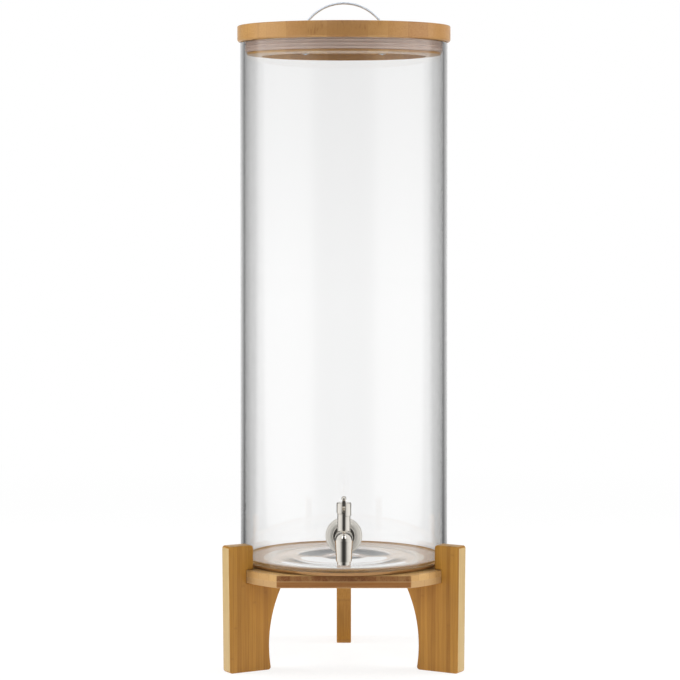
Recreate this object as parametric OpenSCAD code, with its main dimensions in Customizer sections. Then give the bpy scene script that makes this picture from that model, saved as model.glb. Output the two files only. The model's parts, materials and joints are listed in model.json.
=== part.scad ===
// Glass drink dispenser: a straight glass cylinder on a three-legged bamboo stand,
// with a bamboo lid and a quarter-turn steel tap low on the front.
// Millimetres. The floor is z = 0, the tap faces -Y, and the glass stands on the axis
// (0, axis_y), set back so that the origin lies at the bottom centre of the whole object.

/* [Glass vessel] */
// Outside diameter of the glass
vessel_d = 180; // [150:1:210]
// Height of the glass, from its foot to its rim
vessel_h = 451; // [260:1:520]
// Thickness of the side wall
wall = 3.8; // [3:0.1:6]
// Thickness of the floor
floor_t = 4; // [3:0.1:8]
// Outer radius where the wall turns under to the foot
foot_round = 5; // [2:0.5:18]
// Inner radius where the wall meets the floor
floor_round = 3; // [1:0.5:20]
// Radius of the small rounds on both edges of the rim
rim_round = 1.2; // [0.5:0.1:1.5]
// How far the middle of the underside is pushed up
punt_h = 1.2; // [0.5:0.1:2]
// Diameter of the pushed-up part of the underside
punt_d = 112; // [80:1:120]
// Distance from the middle of the floor to the crest of the slow wave round it
wave_pitch = 40; // [30:1:44]
// Height of the wave and of the middle above the floor
wave_h = 0.8; // [0.3:0.1:1.2]

/* [Lid] */
// Diameter of the lid
lid_d = 185; // [182:1:220]
// Thickness of the lid above the rim
lid_t = 14; // [10:0.5:20]
// Depth of the plug that goes into the glass
plug_h = 12.5; // [11:0.5:18]
// Height of the sealing band on the plug
band_h = 9.2; // [7:0.1:9.5]
// Gap between the plug's bare bottom lip and the glass
lip_gap = 2.2; // [1:0.1:4]
// Thickness of the sealing band
band_t = 3.5; // [2:0.1:5]
// Number of ribs round the sealing band
rib_count = 3; // [2:1:3]
// Radius of each rib on the sealing band
rib_r = 0.9; // [0.5:0.1:1.1]
// Diameter of the recess under the plug
recess_d = 143; // [110:1:146]
// Depth of the recess under the plug
recess_h = 5.5; // [4:0.5:8]

/* [Lid handle] */
// Thickness of the handle wire
wire_d = 2; // [1.6:0.1:3]
// Radius of the handle's bow, at the middle of the wire
bow_r = 39.5; // [30:0.5:44]
// Height of the bow's top above the lid, at the middle of the wire
bow_rise = 20; // [16:0.5:26]
// Radius of the bends that turn the bow down into the lid
bow_bend = 5; // [3:0.5:6]

/* [Stand] */
// Thickness of each leg board
leg_t = 13; // [10:0.5:18]
// Height of the legs
leg_h = 108; // [100:1:130]
// Gap between the glass and the inner edge of a leg above the deck
leg_gap = 2.7; // [1.5:0.1:6]
// Width of a leg above the deck, measured outwards
leg_w = 23.5; // [18:0.5:34]
// How much further in the leg's outer edge stands at the floor than at its top
leg_lean = 1.2; // [0:0.1:4]
// Width of a leg at the narrowest point of its arched inner edge
waist_w = 37.8; // [26:0.2:44]
// Height of the narrowest point above the floor
waist_z = 21; // [10:0.5:30]
// Radius of the arched inner edge
arch_r = 108; // [95:1:160]
// Radius of the rounded corners of the legs
leg_round = 2.5; // [1:0.1:4]
// Height of the deck's top face above the floor
deck_top = 87; // [80:1:96]
// Thickness of the deck
deck_t = 11; // [9:0.5:14]
// How far the deck's round edge stands out beyond the glass
deck_rim = 9; // [7:0.5:10]
// Distance from the glass in to the middle of each flat edge
flat_in = 8.5; // [5:0.5:12]
// Width of the ring that carries the glass, inwards from the glass
ring_w = 28; // [20:0.5:34]
// Radius of the eased edges of the deck
deck_ease = 1; // [0.4:0.1:2]

/* [Tap] */
// Height of the tap's shank above the foot of the glass
tap_h = 35; // [34:0.5:60]
// Diameter of the shank that goes through the glass
shank_d = 15.6; // [14:0.2:18]
// Diameter of the flange against the glass
flange_d = 30.8; // [28:0.2:36]
// Diameter of the barrel and of the rounded elbow
barrel_d = 15.2; // [14.6:0.2:17]
// Diameter of the collar behind the barrel
collar_d = 19; // [17:0.2:21]
// Distance from the glass to the valve's upright axis
neck_out = 15; // [14:0.5:20]
// Distance from the glass to the spout's upright axis
spout_out = 28; // [27:0.5:40]
// Length of the tapered spout below the shank's axis
spout_len = 17.4; // [15:0.2:22]
// Diameter of the spout where its taper ends
spout_tip_d = 13; // [11.6:0.2:14]
// Diameter of the thin lip at the outlet
lip_d = 11; // [10.4:0.1:11.4]
// Height of the lip
lip_h = 2.9; // [2:0.1:5]
// Diameter of the outlet's bore
outlet_d = 8.4; // [7:0.1:9]
// Diameter of the waterway through the shank
water_d = 5.2; // [4:0.1:5.2]

/* [Valve] */
// Diameter of the upright neck
neck_d = 11; // [10.8:0.1:12]
// Height of the neck's top above the shank's axis
neck_h = 18.4; // [17:0.2:22]
// Diameter of the turning plug
plug_d = 7.6; // [7.5:0.1:7.8]
// Wall thickness of the liner round the plug
liner_t = 0.7; // [0.5:0.1:0.8]
// Diameter of the stem above the plug
stem_d = 6; // [5.6:0.1:6.2]
// Diameter of the turning cap
cap_d = 12.3; // [12:0.1:14]
// Height of the cap above the stop step
cap_h = 8.9; // [8.5:0.1:12]
// Height of the stop step between the cap and the neck
stop_h = 2.4; // [1.6:0.1:3]
// How far the cap turns from shut to open, in degrees
turn = 90; // [80:1:100]
// Thickness of the lever
lever_t = 2.6; // [2:0.1:3]
// Height of the lever's bar at its root, seen from the side
lever_bar = 3.4; // [3:0.1:4]
// Height of the lever's bar at its tip
lever_bar_tip = 2.4; // [2:0.1:2.8]
// Radius of the lever's upward bend, at the middle of the bar
lever_bend = 16; // [10:0.5:22]
// Angle that the lever rises to, in degrees
lever_rise = 50; // [30:1:60]
// Length of the straight end of the lever
lever_end = 7.2; // [4:0.2:14]
// Diameter of the ball at the lever's tip
tip_d = 4; // [3.6:0.1:5]

/* [Hidden] */
$fn = 96;
// Sides of the widest circles, where a gasket or an arch follows them
fine_fn = 720;

// Radial play of a shaft that turns in its bore
run_play = 0.06;
// Play of a piece that sits still in its seat
seat_play = 0.1;
// Air kept between pieces that move past each other
move_gap = 0.3;
// Gap seen at the seam of the cap
seam = 0.4;
// Overrun of a cut through a face
over = 1;
// Overlap that joins two solids of one piece
join = 0.01;

vessel_r = vessel_d / 2;
bore_r = vessel_r - wall;
vessel_top = deck_top + vessel_h;
lid_top = vessel_top + lid_t;
lid_r = lid_d / 2;
plug_z = vessel_top - plug_h;
lip_r = bore_r - lip_gap;
rib_tip_r = bore_r - move_gap;
band_r = rib_tip_r - rib_r;
seat_r = band_r - band_t;
recess_z = plug_z + recess_h;

// Rounds of the lid's edges
lid_round_low = 2.3;
lid_round_top = 1;
lip_round = 0.6;

// The handle's bow, its bends and its straight ends
bow_z = lid_top + bow_rise - bow_r;
bend_lift = 0.2;
bend_z = lid_top + bend_lift;
bead_d = wire_d + 0.03;
bow_angle = acos((bend_z - bow_z) / (bow_r - bow_bend));
foot_x = (bow_r - bow_bend) * sin(bow_angle) + bow_bend;
washer_d = 7;
washer_t = 0.8;
nut_flats = 5.5;
nut_t = 2.4;
thread_out = 0.6;
wire_end_z = recess_z - washer_t - nut_t - thread_out;

// The floor's wave ends in a trough, one and a half waves from the middle
wave_reach = 1.5 * wave_pitch;
wave_steps = 36;

// Radii of the stand, from the axis of the glass
leg_in = vessel_r + leg_gap;
leg_out = leg_in + leg_w;
leg_foot_out = leg_out - leg_lean;
leg_waist = leg_foot_out - waist_w;
deck_r = vessel_r + deck_rim;
flat_r = vessel_r - flat_in;
hole_r = vessel_r - ring_w;
deck_low = deck_top - deck_t;
leg_angles = [90, 210, 330];

// Countersunk screws that hold the deck down on the legs, hidden under the glass
screw_in = 6;
screw_r = vessel_r - screw_in;
screw_d = 3.5;
screw_head_d = 7;
screw_head_h = 2.2;
screw_len = 32;
screw_point = 5;
screw_tip_r = 0.3;

// Tap, measured outwards from the glass along the shank's axis
gasket_t = 1.8;
gasket_d = 27.2;
flange_rim_t = 1.4;
flange_t = 3;
flange_ease = 0.4;
hub_rim = 0.9;
collar_t = 2.2;
collar_ease = 0.6;
shank_r = shank_d / 2;
barrel_r = barrel_d / 2;
flange_u = gasket_t;
collar_u = flange_u + flange_t;
barrel_u = collar_u + collar_t;
hole_play = 0.5;

// The outlet's bore stops below the waterway, and a narrower one joins them
outlet_stop_z = -water_d / 2 - 0.8;
outlet_neck_d = outlet_d - 1;
outlet_neck_in = 0.3;

// Inside the glass, measured inwards from the outer face of the wall
inner_gasket_d = 26;
inner_gasket_t = 1.6;
inner_sag = bore_r - sqrt(bore_r * bore_r - inner_gasket_d * inner_gasket_d / 4);
tap_washer_t = 1.2;
tap_nut_t = 5;
tap_nut_flats = 24;
shank_past_nut = 2.8;
washer_in = wall + inner_sag + inner_gasket_t;
nut_in = washer_in + tap_washer_t;
shank_in = nut_in + tap_nut_t + shank_past_nut;

// Valve, measured up from the shank's axis
liner_r = plug_d / 2 + run_play + liner_t;
valve_bore_r = liner_r + run_play;
pocket_z = -4.45;
liner_top = 9;
ring_r = 0.75;
ring_z = 11.5;
ring_mid_r = valve_bore_r - seat_play - ring_r;
gland_depth = 3.4;
gland_play = 0.2;
gland_h = 3;
shoulder_z = neck_h - gland_depth;
gland_z = shoulder_z + gland_play;
port_d = water_d - 0.4;
cap_low = neck_h + stop_h;
cap_top = cap_low + cap_h;
cap_roof = 3.2;
stem_top = cap_top - cap_roof;
cap_round = 1;
slot_w = lever_t + 2 * move_gap;
slot_lift = 0.8;
slot_low = cap_low + slot_lift;
slot_end = 0.5;
slot_back = stem_d / 2 + slot_end;
lever_step = 1;
lever_ease = 0.8;
lever_z = slot_low + move_gap + lever_bar / 2 + lever_step;
root_proud = 0.4;
root_front = cap_d / 2 + root_proud;
bend_steps = 16;
tip_flat = 0.08;
pin_d = 2;
pin_short = 0.6;
pin_len = cap_d - pin_short;
stop_play = 1;
stop_arc = (360 - turn) / 2 - stop_play / 2;

// The lever's tip, outwards from the valve's axis
tip_out = root_front + lever_bend * sin(lever_rise) + lever_end * cos(lever_rise);
tip_z = lever_z + lever_bend * (1 - cos(lever_rise)) + lever_end * sin(lever_rise);

// Set-back of the glass, which centres the whole object on the origin
front_reach = vessel_r + max(spout_out + barrel_r, neck_out + tip_out + tip_d / 2);
axis_y = (front_reach - leg_out) / 2;

bamboo = "#CFA267";
bamboo_dark = "#B98A50";
clear_glass = [0.82, 0.88, 0.88, 0.35];
steel = "#BFC1C2";
steel_dark = "#9A9C9E";
silicone = "#D9D4CE";
liner_white = "#F2F0EA";

// Direction of an angle, as a flat vector
function way(a) = [cos(a), sin(a)];

// What a corner loses when it is rounded: its edges leave the point p at angles a and b
module round_off(p, a, b, r) {
    half = abs(b - a) / 2;
    middle = p + r / sin(half) * way((a + b) / 2);
    difference() {
        polygon([p - join * way((a + b) / 2), p + r / tan(half) * way(a), middle,
                 p + r / tan(half) * way(b)]);
        translate(middle)
            circle(r = r);
    }
}

// A rod along the shank, between two distances outwards from the glass
module rod(r, u0, u1) {
    translate([0, -u0, 0])
        rotate([90, 0, 0])
            cylinder(r = r, h = u1 - u0);
}

// Part of an upright ring, between two angles
module ring_part(r_in, r_out, z0, z1, a0, a1) {
    translate([0, 0, z0])
        rotate([0, 0, a0])
            rotate_extrude(angle = a1 - a0)
                translate([r_in, 0])
                    square([r_out - r_in, z1 - z0]);
}

// Places its children on the axis of the glass
module on_axis() {
    translate([0, axis_y, 0])
        children();
}

// Places its children where the shank's axis meets the outer face of the glass
module at_tap() {
    translate([0, axis_y - vessel_r, deck_top + tap_h])
        children();
}

// Places its children on the valve's upright axis, at the height of the shank
module at_valve() {
    at_tap()
        translate([0, -neck_out, 0])
            children();
}

// Half of the glass's outer shape, as a solid
module vessel_outside() {
    difference() {
        square([vessel_r, vessel_h]);
        round_off([vessel_r, 0], 180, 90, foot_round);
        round_off([vessel_r, vessel_h], 180, 270, rim_round);
    }
}

// Half of the space inside the glass
module vessel_inside() {
    difference() {
        translate([0, floor_t])
            square([bore_r, vessel_h]);
        round_off([bore_r, floor_t], 180, 90, floor_round);
    }
}

// Height of the floor's wave at a distance from the axis
function wave_at(r) = wave_h * (1 + cos(360 * r / wave_pitch)) / 2;

// The slow wave on the upper side of the floor
module floor_wave() {
    flat = wave_reach / wave_steps;
    crest = [for (i = [0 : wave_steps - 1])
        let (r = wave_reach - i * flat)
            [r, floor_t + wave_at(r)]];
    polygon(concat([[0, floor_t - over], [wave_reach, floor_t - over]], crest,
                   [[0, floor_t + wave_at(flat)]]));
}

// The inner edge of the rim, where the round takes the corner off the wall
module rim_inside() {
    translate([bore_r, vessel_h])
        mirror([1, 0])
            round_off([0, 0], 180, 270, rim_round);
}

module glass_vessel() {
    punt_arc = (punt_d * punt_d / 4 + punt_h * punt_h) / (2 * punt_h);
    color(clear_glass)
        difference() {
            on_axis()
                translate([0, 0, deck_top])
                    rotate_extrude() {
                        difference() {
                            vessel_outside();
                            vessel_inside();
                            rim_inside();
                            intersection() {
                                translate([0, punt_h - punt_arc])
                                    circle(r = punt_arc, $fn = 4 * fine_fn);
                                square([punt_d, floor_t]);
                            }
                        }
                        floor_wave();
                    }
            at_tap()
                rod(shank_r + hole_play, -wall - over, over);
        }
}

module lid_board() {
    color(bamboo)
        difference() {
            on_axis()
                rotate_extrude()
                    difference() {
                        union() {
                            translate([0, vessel_top])
                                square([lid_r, lid_t]);
                            translate([0, plug_z])
                                square([seat_r, plug_h + over]);
                            translate([0, plug_z])
                                square([lip_r, plug_h - band_h]);
                        }
                        translate([0, plug_z - over])
                            square([recess_d / 2, recess_h + over]);
                        round_off([lid_r, lid_top], 180, 270, lid_round_top);
                        round_off([lid_r, vessel_top], 180, 90, lid_round_low);
                        round_off([lip_r, plug_z], 180, 90, lip_round);
                    }
            at_wire_ends()
                cylinder(r = wire_d / 2 + seat_play, h = 2 * lid_t + plug_h);
        }
}

// The stretchy band that grips the glass, with ribs round its outside
module lid_seal() {
    rib_step = band_h / rib_count;
    color(silicone)
        on_axis()
            rotate_extrude() {
                translate([seat_r + seat_play, vessel_top - band_h + seat_play])
                    square([band_t - seat_play, band_h - seat_play]);
                for (i = [0 : rib_count - 1])
                    translate([band_r, vessel_top - rib_step * (i + 0.5)])
                        circle(r = rib_r);
            }
}

// Places its children at both ends of the handle wire, level with the wire's end
module at_wire_ends() {
    on_axis()
        for (side = [-1, 1])
            translate([side * foot_x, 0, wire_end_z])
                children();
}

// A piece of round wire bent to a radius, in the XZ plane, up from the angle a0
module wire_bend(r, a0, a1) {
    rotate([90, 0, 0])
        rotate([0, 0, a0])
            rotate_extrude(angle = a1 - a0)
                translate([r, 0])
                    circle(d = wire_d);
}

// The bow, a bend at each end of it and two straight ends. A bead a hair wider than the
// wire closes each place where one stretch goes over into the next.
module lid_handle() {
    color(steel) {
        on_axis() {
            translate([0, 0, bow_z])
                wire_bend(bow_r, 90 - bow_angle, 90 + bow_angle);
            for (side = [0, 180])
                rotate([0, 0, side]) {
                    translate([foot_x - bow_bend, 0, bend_z])
                        wire_bend(bow_bend, 0, 90 - bow_angle);
                    translate([bow_r * sin(bow_angle), 0, bow_z + bow_r * cos(bow_angle)])
                        sphere(d = bead_d);
                    translate([foot_x, 0, bend_z])
                        sphere(d = bead_d);
                }
        }
        at_wire_ends()
            cylinder(d = wire_d, h = bend_z - wire_end_z);
    }
}

module handle_washers() {
    color(steel)
        at_wire_ends()
            translate([0, 0, recess_z - washer_t - wire_end_z])
                difference() {
                    cylinder(d = washer_d, h = washer_t);
                    translate([0, 0, -over])
                        cylinder(r = wire_d / 2 + seat_play, h = washer_t + 2 * over);
                }
}

module handle_nuts() {
    color(steel_dark)
        at_wire_ends()
            translate([0, 0, thread_out])
                difference() {
                    cylinder(d = nut_flats / cos(30), h = nut_t, $fn = 6);
                    translate([0, 0, -over])
                        cylinder(r = wire_d / 2 + run_play, h = nut_t + 2 * over);
                }
}

// Places its children on a screw's axis, at the deck's top face, with +Z up
module at_screws() {
    on_axis()
        for (a = leg_angles)
            rotate([0, 0, a])
                translate([screw_r, 0, deck_top])
                    children();
}

// A countersunk screw hanging from z = 0, grown by some play all over
module screw_shape(play) {
    translate([0, 0, -screw_head_h])
        cylinder(d1 = screw_d + 2 * play, d2 = screw_head_d + 2 * play, h = screw_head_h);
    translate([0, 0, -screw_len + screw_point])
        cylinder(r = screw_d / 2 + play, h = screw_len - screw_point - screw_head_h + join);
    translate([0, 0, -screw_len - 2 * play])
        cylinder(r1 = screw_tip_r + play, r2 = screw_d / 2 + play, h = screw_point + 2 * play);
}

// A ring of board with three flat edges, one between each pair of legs
module deck_board() {
    color(bamboo)
        difference() {
            on_axis()
                difference() {
                    rotate_extrude()
                        difference() {
                            translate([hole_r, deck_low])
                                square([deck_r - hole_r, deck_t]);
                            round_off([deck_r, deck_top], 180, 270, deck_ease);
                            round_off([deck_r, deck_low], 180, 90, deck_ease);
                            round_off([hole_r, deck_low], 90, 0, deck_ease);
                        }
                    for (a = leg_angles)
                        rotate([0, 0, a + 180])
                            translate([flat_r, -deck_r, deck_low - over])
                                cube([deck_r, 2 * deck_r, deck_t + 2 * over]);
                }
            at_screws()
                screw_shape(seat_play);
        }
}

// The outline of a leg, seen from the side: x runs outwards from the axis, y is height
module leg_outline() {
    lean = atan(leg_lean / leg_h);
    foot_in = leg_waist - arch_r + sqrt(arch_r * arch_r - waist_z * waist_z);
    foot_slope = asin(waist_z / arch_r);
    difference() {
        polygon([[0, 0], [leg_foot_out, 0], [leg_out, leg_h], [0, leg_h]]);
        translate([leg_waist - arch_r, waist_z])
            circle(r = arch_r, $fn = fine_fn);
        translate([0, deck_low])
            square([leg_in, leg_h]);
        translate([0, deck_low])
            square([deck_r + seat_play, deck_t + 2 * seat_play]);
        round_off([leg_out, leg_h], 180, 270 - lean, leg_round);
        round_off([leg_in, leg_h], 0, -90, leg_round);
        round_off([leg_foot_out, 0], 180, 90 - lean, leg_round);
        round_off([foot_in, 0], 0, 90 - foot_slope, leg_round);
    }
}

module leg(angle) {
    color(bamboo_dark)
        difference() {
            on_axis()
                rotate([0, 0, angle])
                    rotate([90, 0, 0])
                        linear_extrude(height = leg_t, center = true)
                            leg_outline();
            at_screws()
                screw_shape(seat_play);
        }
}

module leg_screws() {
    color(steel_dark)
        at_screws()
            translate([0, 0, -seat_play])
                screw_shape(0);
}

// The waterway: along the shank to the valve and the elbow, then down the spout
module waterway() {
    rod(water_d / 2, -shank_in - over, spout_out);
    translate([0, -spout_out, -spout_len - lip_h - over])
        cylinder(d = outlet_d, h = spout_len + lip_h + over + outlet_stop_z);
    translate([0, -spout_out, outlet_stop_z - join])
        cylinder(d = outlet_neck_d, h = water_d / 2 - outlet_stop_z + outlet_neck_in);
}

module tap_body() {
    color(steel)
        difference() {
            union() {
                at_tap() {
                    rod(shank_r, -shank_in, collar_u + join);
                    rod(collar_d / 2, collar_u, barrel_u - collar_ease);
                    translate([0, -barrel_u + collar_ease, 0])
                        rotate([90, 0, 0])
                            cylinder(r1 = collar_d / 2, r2 = collar_d / 2 - collar_ease, h = collar_ease);
                    rod(barrel_r, barrel_u - join, spout_out);
                    translate([0, -spout_out, 0]) {
                        rotate([-45, 0, 0])
                            sphere(r = barrel_r);
                        translate([0, 0, -spout_len])
                            cylinder(r1 = spout_tip_d / 2, r2 = barrel_r, h = spout_len);
                        translate([0, 0, -spout_len - lip_h])
                            cylinder(d = lip_d, h = lip_h + join);
                    }
                }
                at_valve()
                    difference() {
                        cylinder(d = neck_d, h = cap_low - seam);
                        ring_part(0, neck_d, neck_h, cap_low, 270, 630 - stop_arc);
                    }
            }
            at_tap()
                waterway();
            at_valve()
                translate([0, 0, pocket_z])
                    cylinder(r = valve_bore_r, h = neck_h - pocket_z + stop_h);
        }
}

// A turned disc: thin at its rim, thicker towards the collar
module tap_flange() {
    color(steel_dark)
        at_tap()
            rotate([90, 0, 0])
                translate([0, 0, flange_u])
                    rotate_extrude()
                        difference() {
                            polygon([[shank_r + seat_play, 0], [flange_d / 2, 0],
                                     [flange_d / 2, flange_rim_t], [collar_d / 2 + hub_rim, flange_t],
                                     [shank_r + seat_play, flange_t]]);
                            round_off([flange_d / 2, 0], 180, 90, flange_ease);
                        }
}

// Both gaskets are flat on their steel side and hollowed or crowned to follow the glass
module outer_gasket() {
    color(silicone)
        difference() {
            at_tap()
                difference() {
                    rod(gasket_d / 2, -wall, gasket_t);
                    rod(shank_r + seat_play, -wall - over, gasket_t + over);
                }
            on_axis()
                cylinder(r = vessel_r + seat_play, h = vessel_top, $fn = fine_fn);
        }
}

module inner_gasket() {
    color(silicone)
        intersection() {
            at_tap()
                difference() {
                    rod(inner_gasket_d / 2, -washer_in, -wall / 2);
                    rod(shank_r + seat_play, -washer_in - over, 0);
                }
            on_axis()
                cylinder(r = bore_r - seat_play, h = vessel_top, $fn = fine_fn);
        }
}

module tap_washer() {
    color(steel)
        at_tap()
            difference() {
                rod(inner_gasket_d / 2, -nut_in, -washer_in);
                rod(shank_r + seat_play, -nut_in - over, -washer_in + over);
            }
}

module tap_nut() {
    color(steel_dark)
        at_tap()
            difference() {
                translate([0, nut_in + tap_nut_t, 0])
                    rotate([90, 0, 0])
                        cylinder(d = tap_nut_flats / cos(30), h = tap_nut_t, $fn = 6);
                rod(shank_r + run_play, -nut_in - tap_nut_t - over, -nut_in + over);
            }
}

// The liner lets the plug turn without leaking: a tube with a window front and back
module valve_liner() {
    color(liner_white)
        at_valve()
            difference() {
                translate([0, 0, pocket_z])
                    cylinder(r = liner_r, h = liner_top - pocket_z);
                translate([0, 0, pocket_z - over])
                    cylinder(r = plug_d / 2 + run_play, h = liner_top - pocket_z + 2 * over);
                rod(water_d / 2, -neck_d, neck_d);
            }
}

// The plug: its port lies across the waterway when the tap is shut
module valve_plug() {
    plug_low = pocket_z + move_gap;
    color(steel)
        at_valve()
            difference() {
                union() {
                    translate([0, 0, plug_low])
                        cylinder(d = plug_d, h = shoulder_z - plug_low);
                    cylinder(d = stem_d, h = stem_top);
                }
                rotate([0, 90, 0])
                    cylinder(d = port_d, h = 2 * plug_d, center = true);
                translate([0, 0, ring_z - ring_r - seat_play])
                    difference() {
                        cylinder(d = plug_d + over, h = 2 * (ring_r + seat_play));
                        cylinder(r = ring_mid_r - ring_r - seat_play, h = 2 * plug_d);
                    }
                translate([-lever_t / 2 - seat_play, -stem_d, slot_low])
                    cube([lever_t + 2 * seat_play, 2 * stem_d, stem_top]);
                lever_pin_hole();
            }
}

module plug_o_ring() {
    color("#3A3A3A")
        at_valve()
            translate([0, 0, ring_z])
                rotate_extrude()
                    translate([ring_mid_r, 0])
                        circle(r = ring_r);
}

// A threaded ring in the neck that keeps the plug down
module gland_ring() {
    color(steel_dark)
        at_valve()
            translate([0, 0, gland_z])
                difference() {
                    cylinder(r = valve_bore_r - run_play, h = gland_h);
                    translate([0, 0, -over])
                        cylinder(r = stem_d / 2 + run_play, h = gland_h + 2 * over);
                }
}

// The hole that takes the lever's pin, across the valve's axis
module lever_pin_hole() {
    translate([0, 0, lever_z])
        rotate([0, 90, 0])
            cylinder(r = pin_d / 2 + run_play, h = 2 * cap_d, center = true);
}

// The cap turns with the plug: its step meets the neck's step when shut and when open
module tap_cap() {
    color(steel)
        at_valve() {
            difference() {
                rotate_extrude()
                    difference() {
                        translate([0, cap_low])
                            square([cap_d / 2, cap_h]);
                        round_off([cap_d / 2, cap_top], 180, 270, cap_round);
                    }
                translate([0, 0, cap_low - over])
                    cylinder(r = stem_d / 2 + seat_play, h = stem_top - cap_low + seat_play + over);
                translate([-slot_w / 2, -cap_d, slot_low])
                    cube([slot_w, cap_d + slot_back, cap_h]);
                lever_pin_hole();
            }
            ring_part(valve_bore_r + run_play, cap_d / 2, neck_h + seam, cap_low + join,
                      270 + stop_play / 2, 270 + stop_arc);
        }
}

// The middle of the bar where it has risen to an angle
function bend_at(a) = [root_front + lever_bend * sin(a), lever_z + lever_bend * (1 - cos(a))];

// Half the height of the tapered bar at that place
function bar_half(a) = (lever_bar + (lever_bar_tip - lever_bar) * a / lever_rise) / 2;

// The lever seen from the side: x runs outwards from the valve's axis, y is height
module lever_outline() {
    rise = [for (i = [0 : bend_steps]) lever_rise * i / bend_steps];
    tip = [tip_out, tip_z];
    below = [for (a = rise) bend_at(a) - bar_half(a) * way(a + 90)];
    above = [for (a = rise) bend_at(a) + bar_half(a) * way(a + 90)];
    root_half = lever_bar / 2 + lever_step;
    difference() {
        union() {
            translate([-stem_d / 2, lever_z - root_half])
                square([root_front + stem_d / 2, 2 * root_half]);
            polygon(concat([[0, lever_z - lever_bar / 2]], below,
                           [tip - bar_half(lever_rise) * way(lever_rise + 90),
                            tip + bar_half(lever_rise) * way(lever_rise + 90)],
                           [for (i = [bend_steps : -1 : 0]) above[i]],
                           [[0, lever_z + lever_bar / 2]]));
        }
        round_off([root_front, lever_z - root_half], 180, 90, lever_ease);
        round_off([root_front, lever_z + root_half], 180, 270, lever_ease);
    }
}

// The turned ball on the lever's tip, with its small flat end
module lever_tip() {
    difference() {
        sphere(d = tip_d);
        translate([0, 0, tip_d / 2 - tip_flat])
            cylinder(d = tip_d, h = tip_d);
    }
}

module tap_lever() {
    color(steel)
        at_valve()
            difference() {
                union() {
                    rotate([90, 0, -90])
                        linear_extrude(height = lever_t, center = true)
                            lever_outline();
                    translate([0, -tip_out, tip_z])
                        rotate([90 - lever_rise, 0, 0])
                            lever_tip();
                }
                lever_pin_hole();
            }
}

module lever_pin() {
    color(steel_dark)
        at_valve()
            translate([0, 0, lever_z])
                rotate([0, 90, 0])
                    cylinder(d = pin_d, h = pin_len, center = true);
}

glass_vessel();
lid_board();
lid_seal();
lid_handle();
handle_washers();
handle_nuts();
deck_board();
leg(leg_angles[0]);  // leg_back
leg(leg_angles[1]);  // leg_left
leg(leg_angles[2]);  // leg_right
leg_screws();
tap_body();
tap_flange();
outer_gasket();
inner_gasket();
tap_washer();
tap_nut();
valve_liner();
valve_plug();
plug_o_ring();
gland_ring();
tap_cap();
tap_lever();
lever_pin();
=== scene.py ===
"""Looks of a tall glass drink dispenser on a bamboo stand, with a small steel tap.

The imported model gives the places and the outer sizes. Each piece that shows is turned, sawn
or bent again here in a finer mesh of the same size, and every piece gets the finish of the
real one. Classes hold millimetres, meshes hold metres, +Z is up and the tap faces -Y.
"""

from __future__ import annotations

import itertools
import json
import logging
import math
from collections.abc import Iterator, Sequence
from contextlib import contextmanager
from dataclasses import dataclass
from enum import Enum
from functools import partial
from typing import Any

import bpy
from mathutils import Euler, Matrix, Vector


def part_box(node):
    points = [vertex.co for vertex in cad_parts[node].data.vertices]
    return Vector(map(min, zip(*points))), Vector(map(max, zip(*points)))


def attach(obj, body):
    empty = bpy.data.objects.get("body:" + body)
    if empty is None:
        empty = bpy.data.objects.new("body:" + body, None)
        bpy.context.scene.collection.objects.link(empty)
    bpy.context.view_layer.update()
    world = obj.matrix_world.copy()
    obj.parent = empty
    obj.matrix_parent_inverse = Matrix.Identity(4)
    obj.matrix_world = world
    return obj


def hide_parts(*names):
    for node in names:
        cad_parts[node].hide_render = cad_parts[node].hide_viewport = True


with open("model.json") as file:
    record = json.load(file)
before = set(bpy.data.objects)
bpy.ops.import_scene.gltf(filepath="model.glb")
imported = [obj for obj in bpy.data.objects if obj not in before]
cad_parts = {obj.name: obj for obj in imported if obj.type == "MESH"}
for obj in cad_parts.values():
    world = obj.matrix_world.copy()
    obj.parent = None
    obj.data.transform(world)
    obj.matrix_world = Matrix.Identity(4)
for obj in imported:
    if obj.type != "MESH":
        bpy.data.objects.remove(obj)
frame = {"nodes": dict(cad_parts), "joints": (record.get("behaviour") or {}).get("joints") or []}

MM = 0.001
LOG = logging.getLogger("dispenser")

# Points closer than this are one point, in metres
MERGE = 0.5e-6
# Edges that turn by less than this are shaded smooth, in degrees
SMOOTH_ANGLE = 32.0
# Tools cut this far past a face, in millimetres
PAST = 1.0
# The straight pieces of a full turn of a thread or of a bore
THREAD_STEPS, BORE_STEPS = 48, 64
# A thread's depth and the two edges of its crest, as shares of its pitch
THREAD_DEPTH, CREST_FROM, CREST_TO = 0.55, 0.42, 0.58
# A nut's round face as a share of its width, and the slope of its corners
NUT_FACE, NUT_SLOPE = 0.97, 0.6
# The direction of the object's front and a full turn, in degrees
FRONT, FULL_TURN = 270, 360

X = Vector((1.0, 0.0, 0.0))
Y = Vector((0.0, 1.0, 0.0))
Z = Vector((0.0, 0.0, 1.0))

# Sockets of the Mix node for colours, and of the one for plain values
MIX_FACTOR, MIX_A, MIX_B = 0, 6, 7
LEVEL_A, LEVEL_B = 2, 3

# The points of an outline as (x, y), or (x, y, radius) at a corner that is eased
Outline = Sequence[tuple[float, ...]]


class Body(Enum):
    """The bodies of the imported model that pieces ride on."""

    STAND = "stand"
    VESSEL = "vessel"
    TAP_KEY = "tap_key"
    LID = "lid"


class Cut(Enum):
    """What a tool's solid does to a piece."""

    REMOVE = "DIFFERENCE"
    ADD = "UNION"
    KEEP = "INTERSECT"


@dataclass(frozen=True)
class Axis:
    """A line that outlines are turned about or drawn on, in millimetres.

    An outline's second number runs along the line and its first one sideways from it.
    """

    origin: Vector
    along: Vector
    side: Vector

    def point(self, out: float, height: float) -> Vector:
        """Return the point that lies so far out and so far along."""
        return self.origin + self.side * out + self.along * height


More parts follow.
